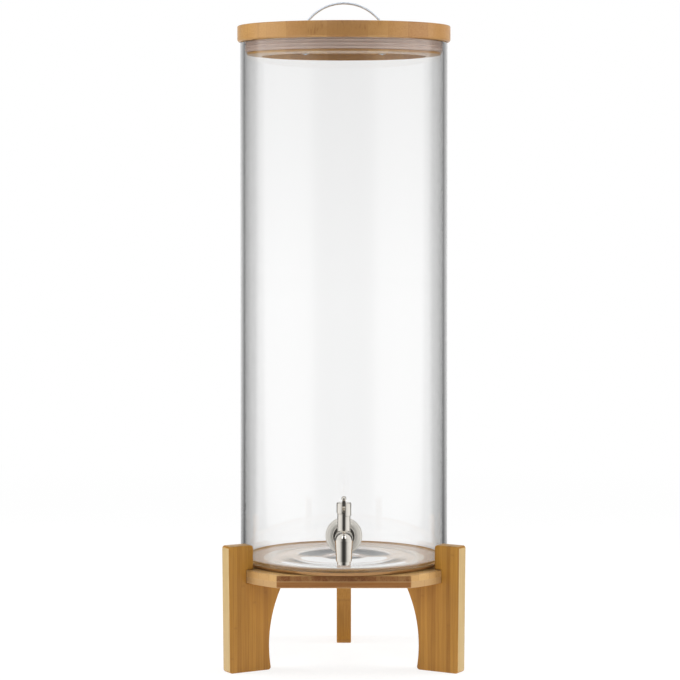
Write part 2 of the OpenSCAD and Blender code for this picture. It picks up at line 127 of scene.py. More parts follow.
def span(node: str) -> tuple[Vector, Vector]:
    """Return a node's lowest and highest corners in millimetres."""
    low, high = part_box(node)
    return low / MM, high / MM


def middle(node: str, way: str) -> float:
    """Return the middle of a node's box along x, y or z, in millimetres."""
    return sum(getattr(corner, way) for corner in span(node)) / 2


def linear(code: str) -> tuple[float, float, float, float]:
    """Turn an sRGB colour into a linear one.

    Args:
        code: the colour's hex code, such as "#C8C4BC".

    Returns:
        Its red, green and blue, and an alpha of 1.
    """
    channels = [int(code[i:i + 2], 16) / 255 for i in (1, 3, 5)]
    straight = [c / 12.92 if c <= 0.04045 else ((c + 0.055) / 1.055) ** 2.4 for c in channels]
    return (*straight, 1.0)


def make_active(piece: bpy.types.Object) -> None:
    """Leave only one piece selected and active, in object mode.

    Args:
        piece: the piece.
    """
    if bpy.context.mode != "OBJECT":
        bpy.ops.object.mode_set(mode="OBJECT")
    bpy.ops.object.select_all(action="DESELECT")
    piece.select_set(True)
    bpy.context.view_layer.objects.active = piece


@contextmanager
def editing(piece: bpy.types.Object) -> Iterator[None]:
    """Open a piece in edit mode with all of it selected, and close it again.

    Args:
        piece: the piece.

    Yields:
        Nothing. The piece is open meanwhile.
    """
    make_active(piece)
    bpy.ops.object.mode_set(mode="EDIT")
    bpy.ops.mesh.select_all(action="SELECT")
    yield
    bpy.ops.object.mode_set(mode="OBJECT")


def ease_outline(outline: Outline, closed: bool = False, steps: int = 6,
                 hold: float = 0.0) -> list[tuple[float, float]]:
    """Replace each eased corner of an outline by its arc.

    Args:
        outline: the points in order.
        closed: whether the last point goes on to the first one.
        steps: the straight pieces of each arc.
        hold: how far from each end of an arc an extra point keeps the straight part flat.

    Returns:
        The points of the eased outline, in millimetres.
    """
    points: list[Vector] = []
    for index, (x, y, *easing) in enumerate(outline):
        at = Vector((x, y))
        if not easing or (not closed and index in (0, len(outline) - 1)):
            points.append(at)
            continue
        radius = easing[0]
        back, onward = ((Vector(outline[beside % len(outline)][:2]) - at).normalized()
                        for beside in (index - 1, index + 1))
        half = back.angle(onward) / 2
        reach = radius / math.tan(half)
        centre = at + (back + onward).normalized() * radius / math.sin(half)
        first = at + back * reach - centre
        final = at + onward * reach - centre
        start = math.atan2(first.y, first.x)
        sweep = (math.atan2(final.y, final.x) - start + math.pi) % math.tau - math.pi
        if hold:
            points.append(at + back * (reach + hold))
        for step in range(steps + 1):
            angle = start + sweep * step / steps
            points.append(centre + Vector((math.cos(angle), math.sin(angle))) * radius)
        if hold:
            points.append(at + onward * (reach + hold))
    return [(p.x, p.y) for p in points]


def draw_chain(name: str, points: Sequence[Vector]) -> bpy.types.Object:
    """Draw a chain of edges by extruding one vertex from point to point.

    Args:
        name: the new piece's name.
        points: the points, in millimetres.

    Returns:
        The piece, with its last vertex selected.
    """
    bpy.ops.object.select_all(action="DESELECT")
    bpy.ops.mesh.primitive_plane_add(size=MM, location=points[0] * MM)
    piece = bpy.context.object
    piece.name = piece.data.name = name
    bpy.ops.object.transform_apply(location=True, rotation=True, scale=True)
    bpy.ops.object.mode_set(mode="EDIT")
    bpy.ops.mesh.merge(type="CENTER")
    for here, there in itertools.pairwise(points):
        bpy.ops.mesh.extrude_vertices_move(TRANSFORM_OT_translate={"value": (there - here) * MM})
    bpy.ops.object.mode_set(mode="OBJECT")
    return piece


def turn(name: str, outline: Outline, axis: Axis, steps: int = 96) -> bpy.types.Object:
    """Turn an outline about an axis, as on a lathe.

    Args:
        name: the new piece's name.
        outline: its points' radius and height. It starts and ends on the axis, or it closes.
        axis: the line to turn about.
        steps: the straight pieces of a full turn.

    Returns:
        The closed piece, its faces outwards.
    """
    piece = draw_chain(name, [axis.point(out, height) for out, height in ease_outline(outline)])
    with editing(piece):
        bpy.ops.mesh.spin(steps=steps, angle=math.tau, center=axis.origin * MM, axis=axis.along)
        bpy.ops.mesh.select_all(action="SELECT")
        bpy.ops.mesh.remove_doubles(threshold=MERGE)
        bpy.ops.mesh.normals_make_consistent(inside=False)
    return piece


def tube(name: str, axis: Axis, bore: float, radius: float, low: float, high: float,
         ease: float | None = None, steps: int = 96) -> bpy.types.Object:
    """Turn a plain tube, disc or rod.

    Args:
        name: the new piece's name.
        axis: its axis.
        bore: the radius of its bore, or 0 for none.
        radius: its outer radius.
        low: the height of its first end.
        high: the height of its second end.
        ease: the radius of its two outer edges, or None where they are sharp.
        steps: the straight pieces of a full turn.

    Returns:
        The closed piece.
    """
    easing = () if ease is None else (ease,)
    outline = [(bore, low), (radius, low, *easing), (radius, high, *easing), (bore, high)]
    return turn(name, [*outline, outline[0]] if bore else outline, axis, steps)


def thicken(piece: bpy.types.Object, reach: Vector) -> None:
    """Fill a flat closed chain of edges and give it a thickness.

    Args:
        piece: the chain, which becomes a closed piece with its faces outwards.
        reach: how far its second face lies from its first, in millimetres.
    """
    with editing(piece):
        bpy.ops.mesh.edge_face_add()
        bpy.ops.mesh.extrude_region_move(TRANSFORM_OT_translate={"value": reach * MM})
        bpy.ops.mesh.select_all(action="SELECT")
        bpy.ops.mesh.normals_make_consistent(inside=False)


def saw(name: str, outline: Outline, plane: Axis, thickness: float) -> bpy.types.Object:
    """Saw a closed outline out of a board.

    Args:
        name: the new piece's name.
        outline: its points across and up the plane.
        plane: the middle plane of the board, which its side and its line span.
        thickness: the board's thickness.

    Returns:
        The closed piece, its faces outwards.
    """
    normal = plane.side.cross(plane.along)
    near = Axis(plane.origin - normal * thickness / 2, plane.along, plane.side)
    piece = draw_chain(name, [near.point(x, y) for x, y in ease_outline(outline, closed=True)])
    thicken(piece, normal * thickness)
    return piece


def apply_modifier(piece: bpy.types.Object, kind: str, **settings: Any) -> None:
    """Add a modifier and apply it at once.

    Args:
        piece: the piece that it shapes.
        kind: the modifier's type.
        settings: the modifier's own properties.
    """
    make_active(piece)
    modifier = piece.modifiers.new(kind.title(), kind)
    for key, value in settings.items():
        setattr(modifier, key, value)
    bpy.ops.object.modifier_apply(modifier=modifier.name)


def combine(piece: bpy.types.Object, tool: bpy.types.Object, how: Cut) -> None:
    """Cut or join a piece with a tool, which is used up."""
    apply_modifier(piece, "BOOLEAN", object=tool, operation=how.value, solver="MANIFOLD")
    bpy.data.objects.remove(tool, do_unlink=True)


def drill(piece: bpy.types.Object, axis: Axis, radius: float, start: float, end: float) -> None:
    """Drill a round hole along an axis between two heights."""
    combine(piece, tube("drill", axis, 0, radius, start, end, steps=BORE_STEPS), Cut.REMOVE)


def ease_edges(piece: bpy.types.Object, width: float, segments: int = 3) -> None:
    """Round every sharp edge of a piece by a width in millimetres."""
    apply_modifier(piece, "BEVEL", width=width * MM, segments=segments, limit_method="ANGLE",
                   angle_limit=math.radians(SMOOTH_ANGLE), use_clamp_overlap=True)


def join(pieces: Sequence[bpy.types.Object], name: str) -> bpy.types.Object:
    """Join separate solids into one piece of several solids.

    Args:
        pieces: the solids.
        name: the joined piece's name.

    Returns:
        The joined piece.
    """
    make_active(pieces[0])
    for piece in pieces:
        piece.select_set(True)
    bpy.ops.object.join()
    pieces[0].name = pieces[0].data.name = name
    return pieces[0]


def threaded_rod(name: str, axis: Axis, radius: float, pitch: float, start: float,
                 end: float) -> bpy.types.Object:
    """Model a rod with a real helical thread, cut flat at both ends.

    The thread is wound longer than the rod and closed, and a sleeve keeps the rod's length.

    Args:
        name: the new piece's name.
        axis: the rod's axis.
        radius: the radius over the thread.
        pitch: the rise in one turn.
        start: the height of the first end.
        end: the height of the second end.

    Returns:
        The closed rod.
    """
    root = radius - THREAD_DEPTH * pitch
    turns = math.ceil((end - start) / pitch) + 2
    tooth = [(root, 0), (radius, CREST_FROM * pitch), (radius, CREST_TO * pitch), (root, pitch)]
    flat = Axis(Vector((0, 0, 0)), Z, X)
    piece = draw_chain(name, [flat.point(r, h) for r, h in tooth])
    apply_modifier(piece, "SCREW", angle=math.tau, screw_offset=pitch * MM, iterations=turns,
                   steps=THREAD_STEPS, render_steps=THREAD_STEPS, use_merge_vertices=True,
                   merge_threshold=MERGE, axis="Z")
    with editing(piece):
        bpy.ops.mesh.remove_doubles(threshold=MERGE)
        bpy.ops.mesh.fill_holes(sides=0)
        bpy.ops.mesh.select_all(action="SELECT")
        bpy.ops.mesh.quads_convert_to_tris()
        bpy.ops.mesh.normals_make_consistent(inside=False)
    sleeve = tube("sleeve", flat, 0, 2 * radius, pitch, pitch + end - start, steps=THREAD_STEPS)
    combine(piece, sleeve, Cut.KEEP)
    turned = Matrix((axis.side, axis.along.cross(axis.side), axis.along)).transposed().to_4x4()
    foot = (axis.origin + axis.along * (start - pitch)) * MM
    piece.matrix_world = Matrix.Translation(foot) @ turned
    make_active(piece)
    bpy.ops.object.transform_apply(location=True, rotation=True, scale=True)
    return piece


def hex_nut(name: str, axis: Axis, flats: float, start: float, thickness: float,
            bore: float) -> bpy.types.Object:
    """Model a hexagon nut with turned-off corners and a bore.

    Args:
        name: the new piece's name.
        axis: the nut's axis.
        flats: the distance across its flats.
        start: the height of its first face.
        thickness: its thickness.
        bore: the bore's radius.

    Returns:
        The closed nut.
    """
    reach = flats / 2 / math.cos(math.radians(30))
    normal = axis.along.cross(axis.side)
    ring = [axis.origin + axis.along * start + axis.side * reach * math.cos(a)
            + normal * reach * math.sin(a) for a in (math.tau * i / 6 for i in range(6))]
    piece = draw_chain(name, ring)
    thicken(piece, axis.along * thickness)
    slope = (reach - flats / 2) * NUT_SLOPE
    face, end = flats / 2 * NUT_FACE, start + thickness
    cone = [(0, start), (face, start), (reach, start + slope), (reach, end - slope), (face, end),
            (0, end)]
    combine(piece, turn("chamfer", cone, axis), Cut.KEEP)
    drill(piece, axis, bore, start - PAST, end + PAST)
    return piece


def add_node(tree: bpy.types.NodeTree, kind: str, feeds: dict[str | int, Any] | None = None,
             **settings: Any) -> bpy.types.Node:
    """Add a shader node with its settings, and feed its inputs.

    Args:
        tree: the tree that gets the node.
        kind: the node's type, without the ShaderNode that all of them begin with.
        feeds: for an input's name or number, a value, a socket or a node to take it from.
        settings: the node's own properties.

    Returns:
        The new node.
    """
    node = tree.nodes.new(f"ShaderNode{kind}")
    for key, value in settings.items():
        setattr(node, key, value)
    for key, value in (feeds or {}).items():
        if isinstance(value, bpy.types.Node):
            value = next(socket for socket in value.outputs if socket.enabled)
        if isinstance(value, bpy.types.NodeSocket):
            tree.links.new(value, node.inputs[key])
        else:
            node.inputs[key].default_value = value
    return node


@dataclass(frozen=True)
class Finish:
    """A finish with its name. Each kind of finish draws its own nodes."""

    name: str

    def material(self) -> bpy.types.Material:
        """Make the finish's material, unless it is there already.

        Returns:
            The material.
        """
        made = bpy.data.materials.get(self.name)
        if made is None:
            made = bpy.data.materials.new(self.name)
            made.use_nodes = True
            made.node_tree.nodes.clear()
            self.draw(made.node_tree)
        return made

    def draw(self, tree: bpy.types.NodeTree) -> None:
        """Draw the finish's nodes in a tree."""
        raise NotImplementedError


@dataclass(frozen=True)
class ClearGlass(Finish):
    """Soda-lime glass, drawn and fire-polished.

    It is clear and slightly grey along its edges, and its faces wave a little, which makes
    the lines of the lamps tremble. The lamps' light and light that a surface has scattered
    pass straight through it, so what stands in the glass is lit.
    """

    tint: str = "#FFFFFF"
    body: str = "#B4BAB8"
    ior: float = 1.5
    fade_per_mm: float = 0.004
    gloss: float = 0.0
    clearness: float = 1.0
    wave_mm: float = 60.0
    wave_height_mm: float = 0.015
    passing: str = "#F4F6F6"

    def draw(self, tree: bpy.types.NodeTree) -> None:
        """Draw clear glass that waves a little, and what fades in it.

        Args:
            tree: the material's own tree.
        """
        add = partial(add_node, tree)
        place = add("TexCoord")
        wave = add("TexNoise", {
            "Vector": place.outputs["Object"], "Scale": 1 / (self.wave_mm * MM), "Detail": 1.0})
        bump = add("Bump", {"Height": wave, "Distance": self.wave_height_mm * MM})
        glass = add("BsdfPrincipled", {
            "Base Color": linear(self.tint), "Roughness": self.gloss, "IOR": self.ior,
            "Transmission Weight": self.clearness, "Normal": bump})
        clear = add("BsdfTransparent", {"Color": linear(self.passing)})
        path = add("LightPath")
        scattered = add("Math", {
            0: path.outputs["Is Shadow Ray"], 1: path.outputs["Is Diffuse Ray"]},
            operation="MAXIMUM")
        surface = add("MixShader", {0: scattered, 1: glass, 2: clear})
        mean = sum(linear(self.body)[:3]) / 3
        fade = add("VolumeAbsorption", {
            "Color": linear(self.body), "Density": self.fade_per_mm / MM / (1 - mean)})
        add("OutputMaterial", {"Surface": surface, "Volume": fade})


@dataclass(frozen=True)
class Bamboo(Finish):
    """Bamboo strips glued to a board, sanded and oiled.

    Each strip has its own tint, fine dark fibres along it and a darker joint where the cane
    had a node. The sawn ends have a tint of their own, with the fibres' dots and with short
    dark dashes that crowd in patches. The faces that look along the board's +x, on that one
    side only, get a side tint. On the legs' outer edges this paler tint is partly the strips'
    edge and partly painted sheen and light from the side lamps. The oil gives a satin sheen.
    The board's frame has the strips side by side along x and their grain along z.

    The shares say how much a strip's own tint, its fibres and a slow cloud count in its
    colour. The stretches say how much finer or coarser a pattern is along x, y and z.
    """

    light: str = "#C09364"
    dark: str = "#AC8055"
    # Tint of the faces along the board's +x, one side only. On the legs it is partly painted sheen
    side: str = "#B48A5C"
    end_tint: str = "#8A5A2C"
    joint: str = "#7A4F28"
    centre: tuple[float, float, float] = (0.0, 0.0, 0.0)
    turned: tuple[float, float, float] = (0.0, 0.0, 0.0)
    strip_mm: float = 6.0
    fibre_mm: float = 1.1
    joint_mm: float = 190.0
    glue: float = 0.25
    ring: float = 0.2
    dash: float = 0.5
    coat: float = 0.05
    seed: float = 0.0
    strip_share: float = 0.5
    fibre_share: float = 0.42
    cloud_share: float = 0.25
    fibre_stretch: float = 0.02
    cloud_stretch: tuple[float, float, float] = (0.09, 0.09, 0.012)
    dash_stretch: tuple[float, float, float] = (0.8, 0.14, 0.8)
    glue_half_mm: float = 0.35
    joint_half_mm: float = 1.7
    dot_mm: float = 1.3
    relief_mm: float = 0.05

    def draw(self, tree: bpy.types.NodeTree) -> None:
        """Draw strips, fibres, joints and sawn ends.

        Args:
            tree: the material's own tree.
        """
        add = partial(add_node, tree)
        place = add("TexCoord")
        board = add("Mapping", {
            "Vector": place.outputs["Object"], "Location": Vector(self.centre) * MM,
            "Rotation": self.turned, "Scale": (MM, MM, MM)}, vector_type="TEXTURE")
        parts = add("SeparateXYZ", {0: board})
        across, grain = parts.outputs["X"], parts.outputs["Z"]
        strip = add("Math", {0: across, 1: self.strip_mm}, operation="DIVIDE")
        index = add("Math", {0: strip}, operation="FLOOR")
        shifted = add("Math", {0: index, 1: self.seed}, operation="ADD")
        tint = add("TexWhiteNoise", {"W": shifted}, noise_dimensions="1D")

        # Fibres run along the grain, each with its own place along the strip
        along = add("Math", {
            0: tint.outputs["Value"], 1: 4 * self.joint_mm, 2: grain}, operation="MULTIPLY_ADD")
        run = add("CombineXYZ", {"X": across, "Y": parts.outputs["Y"], "Z": along})
        fine = add("Mapping", {
            "Vector": run, "Scale": (1 / self.fibre_mm, 1 / self.fibre_mm, self.fibre_stretch)})
        fibre = add("TexNoise", {"Vector": fine, "Scale": 1.0, "Detail": 3.0, "Roughness": 0.65})
        streak = add("MapRange", {"Value": fibre, "From Min": 0.3, "From Max": 0.72}, clamp=True)
        cloudy = add("Mapping", {"Vector": run, "Scale": self.cloud_stretch})
        cloud = add("TexNoise", {"Vector": cloudy, "Scale": 1.0, "Detail": 2.0})

        # A strip's tint counts most, then the fibres and a slow cloud
        of_strip = add("Math", {
            0: tint.outputs["Value"], 1: self.strip_share}, operation="MULTIPLY")
        of_fibre = add("Math", {
            0: streak, 1: self.fibre_share, 2: of_strip}, operation="MULTIPLY_ADD")
        depth = add("Math", {0: cloud, 1: self.cloud_share, 2: of_fibre}, operation="MULTIPLY_ADD")
        wood = add("Mix", {
            MIX_FACTOR: depth, MIX_A: linear(self.light), MIX_B: linear(self.dark)},
            data_type="RGBA")

        # The glue line between two strips, and the cane's joints
        edge = add("Math", {0: strip, 1: 0.5}, operation="PINGPONG")
        glue = add("MapRange", {
            "Value": edge, "From Min": 0.0, "From Max": self.glue_half_mm / self.strip_mm,
            "To Min": self.glue, "To Max": 0.0}, interpolation_type="SMOOTHSTEP")
        turn_z = add("Math", {0: along, 1: self.joint_mm}, operation="DIVIDE")
        near_joint = add("Math", {0: turn_z, 1: 0.5}, operation="PINGPONG")
        ring = add("MapRange", {
            "Value": near_joint, "From Min": 0.0, "From Max": self.joint_half_mm / self.joint_mm,
            "To Min": self.ring, "To Max": 0.0}, interpolation_type="SMOOTHSTEP")
        marks = add("Math", {0: glue, 1: ring}, operation="MAXIMUM")
        marked = add("Mix", {
            MIX_FACTOR: marks, MIX_A: wood, MIX_B: linear(self.joint)}, data_type="RGBA")

        # The strips' sawn ends have a tint of their own. Faces that look along the board's +x, on
        # that one side only, get the side tint. On the legs' outer edges it is partly the strips'
        # edge and partly painted sheen from the side lamps
        masks = []
        for axis, either_way in ((X, False), (Z, True)):
            facing = add("VectorMath", {
                0: place.outputs["Normal"], 1: Euler(self.turned).to_matrix() @ axis},
                operation="DOT_PRODUCT")
            flat = add("Math", {
                0: facing.outputs["Value"], 1: 0.0},
                operation="ABSOLUTE" if either_way else "MAXIMUM")
            masks.append(add("MapRange", {
                "Value": flat, "From Min": 0.86, "From Max": 0.97},
                interpolation_type="SMOOTHSTEP"))
        beside, end = masks
        streaked = add("MapRange", {"Value": streak, "To Min": 1.0, "To Max": 0.72})
        side_tint_and_sheen_share = add("Math", {0: beside, 1: streaked}, operation="MULTIPLY")
        side_tint_and_sheen = add("Mix", {
            MIX_FACTOR: side_tint_and_sheen_share, MIX_A: marked, MIX_B: linear(self.side)}, data_type="RGBA")
        dots = add("TexVoronoi", {
            "Vector": board, "Scale": 1 / self.dot_mm}, voronoi_dimensions="3D")
        dotted = add("MapRange", {
            "Value": dots, "From Min": 0.15, "From Max": 0.6, "To Min": 1.0, "To Max": 0.8})
        patchy = add("MapRange", {
            "Value": cloud, "From Min": 0.35, "From Max": 0.65, "To Min": 0.7})
        ended = add("Math", {0: end, 1: patchy}, operation="MULTIPLY")
        share = add("Math", {0: ended, 1: dotted}, operation="MULTIPLY")
        whole = add("Mix", {
            MIX_FACTOR: share, MIX_A: side_tint_and_sheen, MIX_B: linear(self.end_tint)}, data_type="RGBA")

        # Short dark dashes on the sawn ends, most of them where the cloud is dense
        short = add("Mapping", {"Vector": board, "Scale": self.dash_stretch})
        dashes = add("TexNoise", {"Vector": short, "Scale": 1.0})
        dashed = add("MapRange", {
            "Value": dashes, "From Min": 0.5, "From Max": 0.66, "To Max": self.dash})
        crowd = add("MapRange", {
            "Value": cloud, "From Min": 0.5, "From Max": 0.62, "To Min": 0.15})
        dash = add("Math", {0: dashed, 1: crowd}, operation="MULTIPLY")
        on_end = add("Math", {0: dash, 1: end}, operation="MULTIPLY")
        colour = add("Mix", {
            MIX_FACTOR: on_end, MIX_A: whole, MIX_B: linear(self.joint)}, data_type="RGBA")

        # The oiled skin: fibres stand up a little, and glue lines and joints lie deeper
        rough = add("MapRange", {
            "Value": fibre, "From Min": 0.3, "From Max": 0.7, "To Min": 0.36, "To Max": 0.5})
        relief = add("Math", {0: marks, 1: -1.0, 2: fibre}, operation="MULTIPLY_ADD")
        bump = add("Bump", {"Height": relief, "Distance": self.relief_mm * MM, "Strength": 0.6})
        board_skin = add("BsdfPrincipled", {
            "Base Color": colour, "Roughness": rough, "Normal": bump, "Specular IOR Level": 0.3,
            "Coat Weight": self.coat, "Coat Roughness": 0.2})
        add("OutputMaterial", {"Surface": board_skin})


@dataclass(frozen=True)
class PolishedSteel(Finish):
    """Stainless steel, cast and then buffed.

    It mirrors its surroundings softly, a touch warm, with a faint haze from the buffing
    and from hands.
    """

    colour: str = "#EFEAE2"
    gloss: float = 0.06
    haze: float = 0.06
    metal: float = 1.0
    second: str = "#DAD5CC"
    haze_mm: float = 7.0
    brush_mm: float = 0.35
    brush_stretch: float = 0.08
    brush_height_mm: float = 0.004

    def draw(self, tree: bpy.types.NodeTree) -> None:
        """Draw a hazy mirror with fine buffing marks.

        Args:
            tree: the material's own tree.
        """
        add = partial(add_node, tree)
        place = add("TexCoord")
        haze = add("TexNoise", {
            "Vector": place.outputs["Object"], "Scale": 1 / (self.haze_mm * MM), "Detail": 3.0})
        rough = add("MapRange", {
            "Value": haze, "From Min": 0.3, "From Max": 0.75, "To Min": self.gloss,
            "To Max": self.gloss + self.haze})
        across = self.brush_stretch / (self.brush_mm * MM)
        marks = add("Mapping", {
            "Vector": place.outputs["Object"],
            "Scale": (across, across, 1 / (self.brush_mm * MM))})
        brush = add("TexNoise", {"Vector": marks, "Scale": 1.0, "Detail": 2.0})
        bump = add("Bump", {
            "Height": brush, "Distance": self.brush_height_mm * MM, "Strength": 0.5})
        tint = add("Mix", {
            MIX_FACTOR: haze, MIX_A: linear(self.colour), MIX_B: linear(self.second)},
            data_type="RGBA")
        steel = add("BsdfPrincipled", {
            "Base Color": tint, "Metallic": self.metal, "Roughness": rough, "Normal": bump})
        add("OutputMaterial", {"Surface": steel})


@dataclass(frozen=True)
class TurnedSteel(Finish):
    """Stainless steel as it comes off the lathe.

    Fine grooves run round its axis and spread the highlights across them. They are drawn
    0.7 mm apart, because the real ones would be too fine to show.
    """

    centre: tuple[float, float, float] = (0.0, 0.0, 0.0)
    turned: tuple[float, float, float] = (0.0, 0.0, 0.0)
    colour: str = "#F2EFE8"
    second: str = "#DBD7CF"
    groove_mm: float = 0.7
    groove_height_mm: float = 0.02
    gloss: float = 0.34
    haze: float = 0.12
    metal: float = 0.78

    def draw(self, tree: bpy.types.NodeTree) -> None:
        """Draw rings round the axis.

        Args:
            tree: the material's own tree.
        """
        add = partial(add_node, tree)
        place = add("TexCoord")
        local = add("Mapping", {
            "Vector": place.outputs["Object"], "Location": Vector(self.centre) * MM,
            "Rotation": self.turned, "Scale": (MM, MM, MM)}, vector_type="TEXTURE")
        flat = add("VectorMath", {0: local, 1: (1, 1, 0)}, operation="MULTIPLY")
        radius = add("VectorMath", {0: flat}, operation="LENGTH")
        parts = add("SeparateXYZ", {0: local})
        feed = add("Math", {0: radius.outputs["Value"], 1: parts.outputs["Z"]}, operation="ADD")
        phase = add("Math", {0: feed, 1: 1 / self.groove_mm}, operation="MULTIPLY")
        rings = add("TexNoise", {"W": phase, "Scale": 1.0, "Detail": 2.0}, noise_dimensions="1D")
        bump = add("Bump", {
            "Height": rings, "Distance": self.groove_height_mm * MM, "Strength": 0.8})
        shade = add("MapRange", {"Value": rings, "From Min": 0.3, "From Max": 0.7})
        tint = add("Mix", {
            MIX_FACTOR: shade, MIX_A: linear(self.colour), MIX_B: linear(self.second)},
            data_type="RGBA")
        rough = add("MapRange", {
            "Value": rings, "From Min": 0.3, "From Max": 0.7, "To Min": self.gloss,
            "To Max": self.gloss + self.haze})
        steel = add("BsdfPrincipled", {
            "Base Color": tint, "Metallic": self.metal, "Roughness": rough, "Normal": bump})
        add("OutputMaterial", {"Surface": steel})


@dataclass(frozen=True)
class Moulded(Finish):
    """Rubber or plastic from a mould: an even colour, slightly cloudy, with a soft skin.

    Silicone lets some light in, which the scatter share gives.
    """

    colour: str = "#C9C0B8"
    deep: str = "#A89A8E"
    gloss: float = 0.35
    haze: float = 0.12
    scatter: float = 0.0
    scatter_mm: tuple[float, float, float] = (2.0, 1.6, 1.3)
    cloud_mm: float = 9.0
    grain_mm: float = 0.8
    grain_height_mm: float = 0.01

    def draw(self, tree: bpy.types.NodeTree) -> None:
        """Draw a soft, slightly cloudy skin.

        Args:
            tree: the material's own tree.
        """
        add = partial(add_node, tree)
        place = add("TexCoord")
        cloud = add("TexNoise", {
            "Vector": place.outputs["Object"], "Scale": 1 / (self.cloud_mm * MM), "Detail": 3.0})
        tint = add("Mix", {
            MIX_FACTOR: cloud, MIX_A: linear(self.colour), MIX_B: linear(self.deep)},
            data_type="RGBA")
        grain = add("TexNoise", {
            "Vector": place.outputs["Object"], "Scale": 1 / (self.grain_mm * MM), "Detail": 1.0})
        bump = add("Bump", {
            "Height": grain, "Distance": self.grain_height_mm * MM, "Strength": 0.4})
        rough = add("MapRange", {
            "Value": cloud, "To Min": self.gloss, "To Max": self.gloss + self.haze})
        skin = add("BsdfPrincipled", {
            "Base Color": tint, "Roughness": rough, "Normal": bump,
            "Subsurface Weight": self.scatter,
            "Subsurface Radius": [mm * MM for mm in self.scatter_mm], "Subsurface Scale": 1.0})
        add("OutputMaterial", {"Surface": skin})


def dress(piece: bpy.types.Object, finish: Finish, body: Body, slot: str, *nodes: str) -> None:
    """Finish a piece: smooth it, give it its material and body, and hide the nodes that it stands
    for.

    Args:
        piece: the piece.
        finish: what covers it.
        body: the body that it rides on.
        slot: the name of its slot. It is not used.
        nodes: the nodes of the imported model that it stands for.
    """
    make_active(piece)
    bpy.ops.object.shade_smooth_by_angle(angle=math.radians(SMOOTH_ANGLE))
    piece.data.materials.clear()
    piece.data.materials.append(finish.material())
    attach(piece, body.value)
    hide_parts(*nodes)
    LOG.info("%s: %d faces, %s", piece.name, len(piece.data.polygons), finish.name)


def paint(finish: Finish, *nodes: str) -> None:
    """Give nodes that stay as they were built a finish.

    Args:
        finish: what covers them.
        nodes: the nodes' names.
    """
    for name in nodes:
        materials = frame["nodes"][name].data.materials
        materials.clear()
        materials.append(finish.material())
        LOG.info("%s: node kept, %s", name, finish.name)


# The glass stands upright on this axis. The handle's wire lies in its plane
AXIS_Y = middle("lid_handle", "y")
GLASS_AXIS = Axis(Vector((0, AXIS_Y, 0)), Z, X)

GLASS = ClearGlass("soda-lime glass")
# The foot ring's rough, half-clear skin is that of a ground foot. Its tan tint is painted: it
# stands in for the bamboo deck seen through the glass.
GROUND_FOOT_WITH_PAINTED_DECK = ClearGlass("soda-lime glass, ground foot with painted deck tint", tint="#D09A5E", gloss=0.5,
                          clearness=0.4)
BUFFED = PolishedSteel("buffed stainless steel")
WIRE = PolishedSteel("drawn stainless wire", colour="#E6F2FF", second="#D6E2F0", gloss=0.34,
                     haze=0.08, metal=0.5)
ZINC = PolishedSteel("zinc-plated steel", colour="#B9BAB6", gloss=0.3, haze=0.15, haze_mm=3.0)
SILICONE = Moulded("moulded silicone", colour="#C6AEA0", deep="#B0968A", scatter=0.25)
NITRILE = Moulded("nitrile rubber", colour="#2B2B2C", deep="#1F1F20", gloss=0.45)
FLUOROPOLYMER = Moulded("turned fluoropolymer", colour="#F0EEE8", deep="#E4E1DA", gloss=0.4,
                        scatter=0.2)


